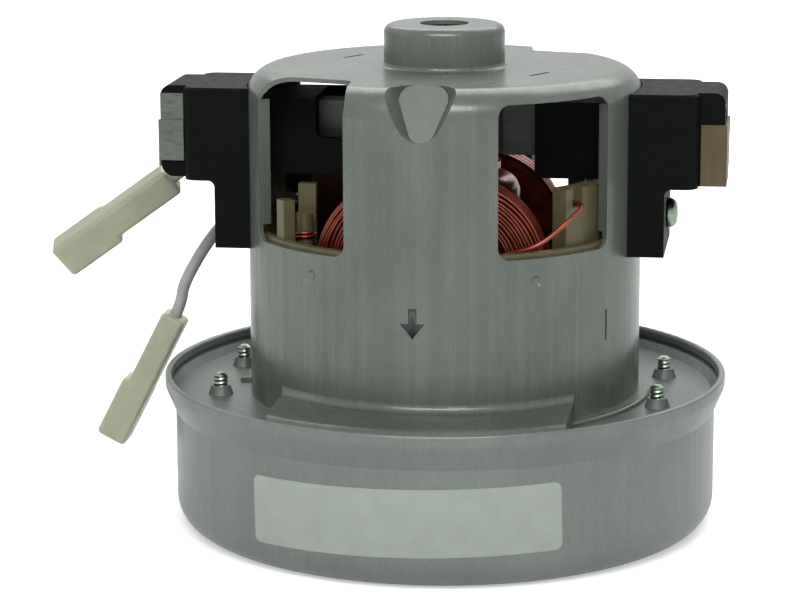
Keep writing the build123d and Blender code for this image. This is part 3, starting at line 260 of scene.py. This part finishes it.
def drawn_steel(name, dark, light, streak_share, rough):
    """Steel with upright draw streaks over soft clouds."""
    material, tree, shader = empty_finish(name, metallic=0.25, Specular_Tint=(0.35, 0.37, 0.35, 1))
    streaks = noise_fac(tree, STREAKS_PER_METRE, detail=5.0, roughness=0.65)
    clouds = noise_fac(tree, CLOUDS_PER_METRE, detail=3.0)
    specks = noise_fac(tree, SPECKS_PER_METRE, detail=2.0)
    tone = ramp(tree, clouds, [(0.3, dark), (0.7, light)])
    low = 1.0 - streak_share
    lines = ramp(tree, streaks, [(0.34, (low, low, low)), (0.66, (1.0, 1.0, 1.0))])
    grain = ramp(tree, specks, [(0.35, (0.90, 0.90, 0.90)), (0.65, (1.0, 1.0, 1.0))])
    tone = blended(tree, 1.0, tone, lines, "MULTIPLY")
    tone = blended(tree, 1.0, tone, grain, "MULTIPLY")
    tree.links.new(tone, shader.inputs["Base Color"])
    tree.links.new(spread(tree, streaks, *rough), shader.inputs["Roughness"])
    tree.links.new(bumped(tree, streaks, 0.25, 0.00004), shader.inputs["Normal"])
    return material


can_steel = drawn_steel("can_steel", (0.134, 0.151, 0.133), (0.176, 0.197, 0.173), 0.16, (0.32, 0.24))
drum_steel = drawn_steel("drum_steel", (0.178, 0.200, 0.185), (0.217, 0.243, 0.224), 0.08, (0.38, 0.30))
plate_steel = drawn_steel("plate_steel", (0.142, 0.160, 0.147), (0.182, 0.204, 0.188), 0.08, (0.36, 0.28))
dress(can_steel, "motor_can")
dress(drum_steel, "fan_cover")
dress(plate_steel, "bracket_plate")

# %% [markdown]
# ## Black moulded brush holders
# The holders are a filled thermoset: nearly black, dull, with a faint orange
# peel from the mould. A very fine bump and a roughness that wanders a little
# keep the flat faces from looking like paint.

# %% Moulded plastics
holder_black = noisy_finish("holder_black", (0.0030, 0.0038, 0.0030), (0.0050, 0.0060, 0.0050), 0.0025,
                            (0.50, 0.62), bump=0.25, depth=0.00003, Specular_IOR_Level=0.045)
dark_moulding = noisy_finish("dark_moulding", (0.02, 0.02, 0.022), (0.035, 0.035, 0.038), 0.003, (0.5, 0.6))
# The cream insulators and spacers sit inside the can. Their cream is darkened far below its own colour to
# paint the shade there.
cream_with_painted_shade = noisy_finish("cream_with_painted_shade", (0.084, 0.073, 0.031), (0.114, 0.099, 0.044), 0.006,
                              (0.38, 0.5), bump=0.12, Subsurface_Weight=0.08, Subsurface_Scale=0.001)
ivory_moulding = noisy_finish("ivory_moulding", (0.335, 0.352, 0.247), (0.390, 0.410, 0.293), 0.005,
                              (0.36, 0.46), bump=0.10, Subsurface_Weight=0.15, Subsurface_Scale=0.0015)
white_moulding = noisy_finish("white_moulding", (0.66, 0.66, 0.62), (0.74, 0.74, 0.70), 0.004, (0.4, 0.5))
hub_resin = noisy_finish("hub_resin", (0.05, 0.022, 0.012), (0.09, 0.042, 0.024), 0.002, (0.4, 0.55))
fibre = noisy_finish("fibre", (0.33, 0.22, 0.11), (0.46, 0.33, 0.18), 0.0012, (0.7, 0.85), bump=0.4)
rubber_black = noisy_finish("rubber_black", (0.012, 0.012, 0.012), (0.022, 0.022, 0.022), 0.002, (0.6, 0.75))
dress(holder_black, "left_brush_holder", "right_brush_holder")
dress(dark_moulding, "diffuser")
dress(cream_with_painted_shade, "upper_field_insulator", "lower_field_insulator",
      "upper_rotor_spacer", "lower_rotor_spacer")
dress(ivory_moulding, "upper_lead_connector", "lower_lead_connector")
dress(white_moulding, "intake_seal")
dress(hub_resin, "commutator_hub")
dress(fibre, "armature_insulation")
dress(rubber_black, "upper_bearing_sleeve")

# %% [markdown]
# ## Bright and dull metals
# Ground, tinned and plated pieces differ mostly in how sharp their reflections
# are. The brass cap has gone brown, so its two tones are dark, its metal is only
# half a mirror and its surface is rough.

# %% Small metal pieces
ground_steel = noisy_finish("ground_steel", (0.50, 0.51, 0.52), (0.62, 0.63, 0.64), 0.002, (0.18, 0.28),
                            metallic=1.0, stretch=(1, 1, 8), bump=0.08)
plated_steel = noisy_finish("plated_steel", (0.16, 0.21, 0.17), (0.30, 0.36, 0.30), 0.0015, (0.22, 0.38),
                            metallic=1.0, bump=0.12)
tinned_steel = noisy_finish("tinned_steel", (0.084, 0.094, 0.083), (0.132, 0.144, 0.128), 0.003,
                            (0.24, 0.40), metallic=1.0, stretch=(1, 1, 3), bump=0.10)
# The brush tubes are seen inside the can through the windows. Their steel is darkened to paint the shade
# there.
tube_steel_with_painted_shade = noisy_finish("tube_steel_with_painted_shade", (0.055, 0.063, 0.053), (0.100, 0.112, 0.096), 0.004, (0.40, 0.55),
                          metallic=0.7, stretch=(0.3, 1, 1), bump=0.10)
brown_brass = noisy_finish("brown_brass", (0.068, 0.048, 0.023), (0.112, 0.084, 0.043), 0.004, (0.46, 0.60),
                           metallic=0.55, stretch=(1, 1, 0.25), bump=0.12)
spun_aluminium = noisy_finish("spun_aluminium", (0.52, 0.53, 0.54), (0.64, 0.65, 0.66), 0.003, (0.3, 0.42),
                              metallic=1.0)
bare_copper = noisy_finish("bare_copper", (0.35, 0.14, 0.07), (0.52, 0.25, 0.13), 0.002, (0.28, 0.42),
                           metallic=1.0, stretch=(1, 1, 0.2))
carbon_block = noisy_finish("carbon_block", (0.012, 0.012, 0.013), (0.028, 0.028, 0.030), 0.001, (0.45, 0.6),
                            bump=0.3)
dress(ground_steel, "shaft", "fan_spacer", "bearing_shields",
      *(f"{level}_bearing_{piece}" for level in ("upper", "lower")
        for piece in ("outer_ring", "inner_ring", "balls", "cage")))
dress(plated_steel, "bracket_screws", "holder_screws", "fan_washers", "fan_nut")
dress(tube_steel_with_painted_shade, "left_brush_tube", "right_brush_tube")
dress(tinned_steel, "left_brush_clip", "right_brush_clip", "lead_terminals",
      "left_brush_spring", "right_brush_spring")
dress(brown_brass, "left_brush_cap", "right_brush_cap")
dress(spun_aluminium, "impeller_front_shroud", "impeller_back_plate", "impeller_blades")
dress(bare_copper, "commutator_bars", "left_brush_shunt", "right_brush_shunt")
dress(carbon_block, "left_carbon_brush", "right_carbon_brush")

# %% [markdown]
# ## Laminated cores
# Both cores are stacks of stamped steel sheets half a millimetre thick, so
# their sides show fine level lines. A saw-tooth of the height makes the lines:
# the fraction of height over sheet thickness, turned into a shallow groove.

# %% Laminations
SHEET = 0.5 * MM


def laminated_steel():
    """Dark steel with a groove between each two sheets: frac(z / sheet) drives bump and tone."""
    material, tree, shader = empty_finish("laminated_steel", metallic=1.0)
    place = tree.nodes.new("ShaderNodeTexCoord")
    split = tree.nodes.new("ShaderNodeSeparateXYZ")
    tree.links.new(place.outputs["Object"], split.inputs["Vector"])
    wave = tree.nodes.new("ShaderNodeMath")
    wave.operation = "PINGPONG"
    wave.inputs[1].default_value = SHEET / 2
    tree.links.new(split.outputs["Z"], wave.inputs[0])
    height = spread(tree, wave.outputs["Value"], 0.0, 1.0, 0.0, SHEET / 6)
    tone = ramp(tree, height, [(0.0, (0.03, 0.03, 0.032)), (1.0, (0.16, 0.16, 0.165))])
    cloud = ramp(tree, noise_fac(tree, (300, 300, 300)), [(0.3, (0.75, 0.72, 0.70)), (0.7, (1.0, 1.0, 1.0))])
    tree.links.new(blended(tree, 1.0, tone, cloud, "MULTIPLY"), shader.inputs["Base Color"])
    shader.inputs["Roughness"].default_value = 0.45
    tree.links.new(bumped(tree, height, 0.4, 0.00005), shader.inputs["Normal"])
    return material


lamination = laminated_steel()
dress(lamination, "stator_core", "armature_core")

# %% [markdown]
# ## Enamelled copper
# Magnet wire is copper under a thin red-brown varnish. The metal gives the dark
# red colour, and a coat on top gives the small sharp highlights that run along
# each turn.

# %% Magnet wire and wire jacket
magnet_wire = noisy_finish("magnet_wire", (0.140, 0.018, 0.006), (0.28, 0.044, 0.014), 0.004, (0.30, 0.45),
                           metallic=0.7, bump=0.08, Coat_Weight=0.6, Coat_Roughness=0.15)
grey_jacket = noisy_finish("grey_jacket", (0.35, 0.355, 0.355), (0.42, 0.425, 0.425), 0.003,
                           (0.42, 0.52), bump=0.10)
dress(magnet_wire, "front_field_coil_core", "back_field_coil_core", "front_field_winding",
      "back_field_winding", "front_coil_jumper", "back_coil_jumper", "armature_winding")
for wire in leads.values():
    wire.data.materials.append(grey_jacket)

# %% [markdown]
# ## Surfaces from formulas
# The pieces below are all grids: a formula gives a point for each pair of
# parameters, numpy works the whole grid out at once, and the same helper joins
# neighbouring points into faces.

# %% Grid and tube helpers
def ring_faces(rows, columns):
    """Quads between neighbouring closed rings of points, with a flat face over each end."""
    i, j = np.meshgrid(np.arange(rows - 1), np.arange(columns), indexing="ij")
    beside = (j + 1) % columns
    low, high = i * columns, (i + 1) * columns
    quads = np.stack([low + j, low + beside, high + beside, high + j], -1)
    faces = quads.reshape(-1, 4).tolist()
    faces.append(list(range(columns - 1, -1, -1)))
    faces.append(list(range((rows - 1) * columns, rows * columns)))
    return faces


def new_piece(name, rings, material):
    """A smooth mesh on the housing, made of one or more stacks of rings in metres."""
    points, faces, first = [], [], 0
    for stack in rings:
        rows, columns = stack.shape[:2]
        points.append(stack.reshape(-1, 3))
        faces += [[first + corner for corner in face] for face in ring_faces(rows, columns)]
        first += rows * columns
    mesh = bpy.data.meshes.new(name)
    mesh.from_pydata(np.concatenate(points).tolist(), [], faces)
    mesh.polygons.foreach_set("use_smooth", np.array([len(face) == 4 for face in faces]))
    mesh.materials.append(material)
    mesh.update()
    piece = bpy.data.objects.new(name, mesh)
    bpy.context.scene.collection.objects.link(piece)
    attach(piece, "housing")
    print(name, "has", len(mesh.vertices), "points and", len(mesh.polygons), "faces")
    return piece


def tube_rings(path, radius, sides, reference):
    """Rings of a round tube: path + radius (cos v * side + sin v * over).

    side is the path's direction crossed with the reference direction, and over is
    square to both.
    """
    ahead = np.gradient(path, axis=0)
    ahead /= np.linalg.norm(ahead, axis=1, keepdims=True)
    side = np.cross(reference, ahead)
    side /= np.linalg.norm(side, axis=1, keepdims=True)
    over = np.cross(ahead, side)
    angle = np.arange(sides) * TURN / sides
    ring = np.cos(angle)[None, :, None] * side[:, None] + np.sin(angle)[None, :, None] * over[:, None]
    return path[:, None] + radius * ring


# %% [markdown]
# ## Field windings
# The solids carry one layer of thick turns. The real coils have many thinner
# ones that lie almost, but not quite, side by side. One path runs across the
# outer side of the coil and then inwards over its front face, and slow sine
# waves push each turn a little out of line.

# %% Field windings
WIRE_RADIUS = 0.40
WIRE_PITCH = 0.84
WIRE_SIDES = 8
TURN_WANDER = 0.09
COIL_DEPTHS = (19.7, 27.75)
COIL_HALF_WIDTHS = (26.85, 17.9)
ARC_STEPS = 14
COIL_CORNERS = np.array([(6.5, 67.5), (-6.5, 67.5), (-14.0, 47.0), (14.0, 47.0)])


def winding_path():
    """The middle line: corner + (half width - |corner x|) (cos a, sin a) in X and Z, depth in Y.

    The corner changes from quarter to quarter, which leaves the straight runs
    between the four bends. First the depth grows loop by loop, then the half width
    shrinks.
    """
    side_loops = round((COIL_DEPTHS[1] - COIL_DEPTHS[0]) / WIRE_PITCH)
    face_loops = round((COIL_HALF_WIDTHS[0] - COIL_HALF_WIDTHS[1]) / WIRE_PITCH)
    loops = side_loops + face_loops
    quarter = np.tile(np.repeat(np.arange(4), ARC_STEPS), loops)
    share = np.tile(np.linspace(0, 1, ARC_STEPS), 4 * loops)
    angle = (quarter + share) * TURN / 4
    loop = np.arange(len(angle)) / (4 * ARC_STEPS)
    depth = np.interp(loop, [0, side_loops], COIL_DEPTHS)
    width = np.interp(loop, [side_loops, loops], COIL_HALF_WIDTHS)
    width = width + TURN_WANDER * (np.sin(loop * 8.2) + np.sin(loop * 13.7 + 1) + 0.5 * np.sin(loop * 33.0))
    depth = depth + TURN_WANDER * (np.sin(loop * 4.9 + 2) + np.sin(loop * 21.4))
    corner = COIL_CORNERS[quarter]
    bend = width - np.abs(corner[:, 0])
    x = corner[:, 0] + bend * np.cos(angle)
    z = corner[:, 1] + bend * np.sin(angle)
    return np.stack([x, -depth, z], -1) * MM


front_rings = tube_rings(winding_path(), WIRE_RADIUS * MM, WIRE_SIDES, np.array([0.0, -1.0, 0.0]))
back_rings = front_rings * np.array([-1, -1, 1])
for side, rings in (("front", front_rings), ("back", back_rings)):
    winding = new_piece(f"{side}_coil_turns", [rings], magnet_wire)
    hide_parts(f"{side}_field_winding")

# %% [markdown]
# ## Wire wrap on the peg
# A coil's end is anchored with two turns round a moulded peg before it goes on.
# It is a helix: radius times (cos a, sin a), climbing one wire per turn.

# %% Wire wrap
PEG_X, PEG_Y, PEG_RADIUS = -30.9, -21.0, 2.1
WRAP_TURNS, WRAP_LOW_Z, WRAP_STEPS = 1.9, 72.75, 60
angle = np.linspace(0, WRAP_TURNS * TURN, WRAP_STEPS)
climb = WRAP_LOW_Z + WIRE_PITCH * angle / TURN
wrap_radius = PEG_RADIUS + WIRE_RADIUS
wrap_x, wrap_y = PEG_X + wrap_radius * np.cos(angle), PEG_Y + wrap_radius * np.sin(angle)
wrap_path = np.stack([wrap_x, wrap_y, climb], -1) * MM
wrap_rings = tube_rings(wrap_path, WIRE_RADIUS * MM, WIRE_SIDES, np.array([0.0, 0.0, 1.0]))
new_piece("peg_wire_wrap", [wrap_rings], magnet_wire)

# %% [markdown]
# ## Threads of the bracket screws
# The screws cut their own thread in the drawn collars of the plate, and their
# tips stand out above it. The radius is the major radius less a triangle wave
# that climbs one pitch in each turn, and the last millimetre tapers.

# %% Bracket screws
SCREW_PLACES = [(x, y) for x in (53.0, -53.0) for y in (15.2, -15.2)]
SCREW_RADIUS, THREAD_DEPTH, THREAD_PITCH = 1.75, 0.30, 1.0
HEAD_RADIUS, HEAD_LOW, HEAD_HIGH = 3.6, 15.8, 18.2
THREAD_LOW, TIP = 29.6, 37.8
SHANK_INSET, RUN_OUT = 0.1, 0.2
TIP_RADIUS, TAPER_SLOPE = 0.85, 1.25
LEVELS_PER_PITCH = 10


def screw_rings(columns=28):
    """Radius R - depth * |2 frac(z / pitch - a / turn) - 1|, at most what the tip's taper leaves."""
    angle = np.arange(columns) * TURN / columns
    heights = np.arange(THREAD_LOW, TIP + 0.01, THREAD_PITCH / LEVELS_PER_PITCH)
    heights[-1] = TIP
    phase = heights[:, None] / THREAD_PITCH - angle[None, :] / TURN
    wave = np.abs(2 * (phase - np.floor(phase)) - 1)
    taper = TIP_RADIUS + TAPER_SLOPE * (TIP - heights)
    thread = np.minimum(SCREW_RADIUS - THREAD_DEPTH * wave, taper[:, None])
    shank = SCREW_RADIUS - SHANK_INSET
    plain = [(HEAD_RADIUS, HEAD_LOW), (HEAD_RADIUS, HEAD_HIGH),
             (shank, HEAD_HIGH), (shank, THREAD_LOW - RUN_OUT)]
    radii = np.concatenate([np.repeat([[r] for r, _ in plain], columns, axis=1), thread])
    levels = np.concatenate([[z for _, z in plain], heights])
    levels = np.repeat(levels[:, None], columns, axis=1)
    return np.stack([radii * np.cos(angle), radii * np.sin(angle), levels], -1) * MM


screws = new_piece("threaded_bracket_screws",
                   [screw_rings() + np.array([x, y, 0]) * MM for x, y in SCREW_PLACES],
                   plated_steel)
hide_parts("bracket_screws")

# %% [markdown]
# ## Holder screws
# A domed head with a cross recess holds each brush holder. The head is one grid
# of rings: up the shank, out under the head, round its edge and in over the top.
# Where a ring crosses the recess, its height drops by a smooth step.

# %% Holder screws
HOLDER_SCREW_Z, HEAD_SEAT = 76.8, 53.92
DOME_RADIUS, DOME_HEIGHT, DOME_ROUND = 3.65, 2.5, 2.1
SHANK_RADIUS, SHANK_END = 1.5, 44.3
RECESS_DEPTH, RECESS_HALF_WIDTH, RECESS_REACH = 1.3, 0.42, 1.75
RECESS_SIDE_EASE, RECESS_END_EASE = 0.12, 0.5
DOME_POLE = 0.08


def smooth_step(value, low, high):
    """0 below low, 1 above high, and 3 t^2 - 2 t^3 between."""
    t = np.clip((value - low) / (high - low), 0, 1)
    return t * t * (3 - 2 * t)


def dome_rings(side, columns=64):
    """Rings of (radius, height) along the screw's axis, less the cross recess on top."""
    angle = np.arange(columns) * TURN / columns
    bend = np.linspace(0, TURN / 4, 12)
    edge = DOME_RADIUS - DOME_ROUND
    round_r = edge + DOME_ROUND * np.cos(bend)
    round_h = DOME_HEIGHT - DOME_ROUND + DOME_ROUND * np.sin(bend)
    top_r = np.linspace(edge, DOME_POLE, 22)[1:]
    radii = np.concatenate([[SHANK_RADIUS, SHANK_RADIUS, DOME_RADIUS], round_r, top_r])[:, None]
    top_h = np.full(len(top_r), DOME_HEIGHT)
    heights = np.concatenate([[SHANK_END - HEAD_SEAT, 0, 0], round_h, top_h])[:, None]
    u, v = np.abs(radii * np.cos(angle)), np.abs(radii * np.sin(angle))
    narrow, reach = np.minimum(u, v), np.maximum(u, v)
    inner, outer = RECESS_HALF_WIDTH - RECESS_SIDE_EASE, RECESS_HALF_WIDTH + RECESS_SIDE_EASE
    recess = 1 - smooth_step(narrow, inner, outer)
    recess = recess * (1 - smooth_step(reach, RECESS_REACH - RECESS_END_EASE, RECESS_REACH))
    recess = recess * (heights > DOME_HEIGHT / 2)
    out = HEAD_SEAT + heights - RECESS_DEPTH * recess
    across, level = side * radii * np.cos(angle), HOLDER_SCREW_Z + radii * np.sin(angle)
    return np.stack([side * out, across, level], -1) * MM


domes = new_piece("recessed_holder_screws", [dome_rings(1), dome_rings(-1)], plated_steel)
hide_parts("holder_screws")

# %% [markdown]
# ## Brush springs and shunts
# A coil spring pushes each carbon brush onto the commutator, and a twisted
# copper cord inside it carries the current. Both lie between the brush's back
# and the cap, along X.

# %% Brush springs and shunts
BRUSH_BACK_X, CAP_INNER_X, BRUSH_Z = 35.64, 67.68, 97.0
SPRING_RADIUS, SPRING_WIRE_RADIUS, SPRING_TURNS = 2.45, 0.25, 16
SHUNT_RADIUS, STRAND_DEPTH, STRAND_LAY, STRANDS = 0.69, 0.12, 5.0, 6


def spring_rings(steps=24):
    """A tube round a helix: x runs evenly, and y and z are R (cos a, sin a) on the brush's axis."""
    angle = np.linspace(0, SPRING_TURNS * TURN, SPRING_TURNS * steps + 1)
    run = np.linspace(BRUSH_BACK_X + SPRING_WIRE_RADIUS, CAP_INNER_X - SPRING_WIRE_RADIUS, len(angle))
    y, z = SPRING_RADIUS * np.cos(angle), BRUSH_Z + SPRING_RADIUS * np.sin(angle)
    path = np.stack([run, y, z], -1) * MM
    return tube_rings(path, SPRING_WIRE_RADIUS * MM, WIRE_SIDES, np.array([1.0, 0.0, 0.0]))


def shunt_rings(rows=120, columns=30):
    """Radius R - depth * |sin(strands / 2 * (a - turn * x / lay))|: strands twisted round each other."""
    run = np.linspace(BRUSH_BACK_X, CAP_INNER_X, rows)[:, None]
    angle = (np.arange(columns) * TURN / columns)[None, :]
    radius = SHUNT_RADIUS - STRAND_DEPTH * np.abs(np.sin(STRANDS / 2 * (angle - TURN * run / STRAND_LAY)))
    run = np.repeat(run, columns, axis=1)
    return np.stack([run, radius * np.cos(angle), BRUSH_Z + radius * np.sin(angle)], -1) * MM


for side, sign in (("right", 1), ("left", -1)):
    half_turn = np.array([sign, sign, 1])
    for kind, rings, finish, slot in (("spring", spring_rings(), tinned_steel, "ground_steel"),
                                      ("shunt", shunt_rings(), bare_copper, "bare_copper")):
        piece = new_piece(f"{side}_brush_{kind}_form", [rings * half_turn], finish)
        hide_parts(f"{side}_brush_{kind}")
        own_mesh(piece)

# %% [markdown]
# ## Printed arrow
# A plain arrow is printed low on the front pillar, pointing down. The print is
# a film a few hundredths of a millimetre thick on the curved wall, so its
# outline is laid out flat, width by height, and then wrapped round the shaft.

# %% Printed arrow
ARROW_AZIMUTH = math.radians(-1.8)
WALL_RADIUS = 47.5
FILM = 0.04
ARROW = [(54.8, 0.05), (58.3, 2.85), (58.31, 0.95), (61.8, 0.95)]


def arrow_rings():
    """One flat ring per height: across the outer face of the film and back behind it."""
    heights = np.array([z for z, _ in ARROW])
    half = np.array([w for _, w in ARROW])[:, None]
    across = np.linspace(-1, 1, 9)
    across = np.concatenate([across, across[::-1]])
    radius = WALL_RADIUS + np.repeat([FILM, -FILM], 9)
    azimuth = ARROW_AZIMUTH + half * across / WALL_RADIUS
    levels = np.repeat(heights[:, None], len(across), axis=1)
    return np.stack([radius * np.sin(azimuth), -radius * np.cos(azimuth), levels], -1) * MM


ink = noisy_finish("ink", (0.010, 0.010, 0.011), (0.020, 0.020, 0.021), 0.001, (0.45, 0.6))
new_piece("printed_arrow", [arrow_rings()], ink)

# %% [markdown]
# ## Bare label
# The label is a silver-grey film without print. It is smoother than the drum
# behind it and has no draw streaks, which is what makes it readable as a label.

# %% Label
label_film = noisy_finish("label_film", (0.290, 0.325, 0.294), (0.333, 0.372, 0.336), 0.006, (0.36, 0.44),
                          metallic=0.35, bump=0.06)
dress(label_film, "rating_label")

# %% [markdown]
# ## Floor, backdrop and light
# The motor stands on a plain pale floor under soft studio light. A broad soft
# light stands high in front, a wider one high behind brightens what faces up,
# two faint ones lift the sides, and the world fills in the rest. The camera and
# shiny surfaces see floor and world as white, which makes the white background
# without more light on the motor.

# %% Floor and light
def soft_light(name, place, target, width, height, power):
    """A rectangular light at a place, turned to face a target."""
    light = bpy.data.lights.new(name, "AREA")
    light.shape = "RECTANGLE"
    light.size = width
    light.size_y = height
    light.energy = power
    lamp = bpy.data.objects.new(name, light)
    bpy.context.scene.collection.objects.link(lamp)
    z_axis = np.array(place, float) - np.array(target, float)
    z_axis /= np.linalg.norm(z_axis)
    x_axis = np.cross((0, 0, 1), z_axis)
    x_axis /= np.linalg.norm(x_axis)
    matrix = np.eye(4)
    matrix[:3, :] = np.array([x_axis, np.cross(z_axis, x_axis), z_axis, place]).T
    lamp.matrix_world = Matrix(matrix.tolist())


floor_mesh = bpy.data.meshes.new("floor")
REACH = 6.0
floor_corners = [(-REACH, -REACH, 0), (REACH, -REACH, 0), (REACH, REACH, 0), (-REACH, REACH, 0)]
floor_mesh.from_pydata(floor_corners, [], [(0, 1, 2, 3)])
floor = bpy.data.objects.new("floor", floor_mesh)
bpy.context.scene.collection.objects.link(floor)
floor_white = noisy_finish("floor_white", (0.88, 0.88, 0.88), (0.90, 0.90, 0.90), 0.05, (0.9, 0.95),
                           bump=0.0, Emission_Color=(1, 1, 1, 1))
floor_mesh.materials.append(floor_white)


def seen_rays(tree):
    """1 for rays that come from the camera or off a shiny or clear surface, 0 for all others."""
    ray = tree.nodes.new("ShaderNodeLightPath")
    value = ray.outputs["Is Camera Ray"]
    for name in ("Is Glossy Ray", "Is Transmission Ray"):
        larger = tree.nodes.new("ShaderNodeMath")
        larger.operation = "MAXIMUM"
        tree.links.new(value, larger.inputs[0])
        tree.links.new(ray.outputs[name], larger.inputs[1])
        value = larger.outputs["Value"]
    return value


FLOOR_GLOW = 0.45
floor_tree = floor_white.node_tree
glow = spread(floor_tree, seen_rays(floor_tree), 0.0, FLOOR_GLOW, 0.0, 1.0)
floor_tree.links.new(glow, floor_tree.nodes["Principled BSDF"].inputs["Emission Strength"])

CENTRE = (0, 0, 0.06)
LIGHTS = [
    # name, place in metres, width, height, watts
    ("front_light", (0.05, -0.92, 0.92), 0.9, 0.4, 11),
    ("left_light", (-1.2, -0.2, 0.7), 0.6, 0.9, 0.5),
    ("right_light", (1.2, -0.1, 0.8), 0.6, 0.9, 0.3),
    ("top_light", (0.0, 0.85, 1.05), 1.6, 1.0, 16),
]
for name, place, width, height, watts in LIGHTS:
    soft_light(name, place, CENTRE, width, height, watts)

FILL_COLOUR = (0.20, 0.21, 0.21, 1)
WHITE = (1, 1, 1, 1)
world = bpy.data.worlds.new("studio")
bpy.context.scene.world = world
world.use_nodes = True
tree = world.node_tree
tree.nodes.clear()
output = tree.nodes.new("ShaderNodeOutputWorld")
fill = tree.nodes.new("ShaderNodeBackground")
fill.inputs["Color"].default_value = FILL_COLOUR
fill.inputs["Strength"].default_value = 1.0
white = tree.nodes.new("ShaderNodeBackground")
white.inputs["Color"].default_value = WHITE
white.inputs["Strength"].default_value = 1.0
mix = tree.nodes.new("ShaderNodeMixShader")
tree.links.new(seen_rays(tree), mix.inputs[0])
tree.links.new(fill.outputs[0], mix.inputs[1])
tree.links.new(white.outputs[0], mix.inputs[2])
tree.links.new(mix.outputs[0], output.inputs["Surface"])
bpy.context.scene.view_settings.view_transform = "Standard"
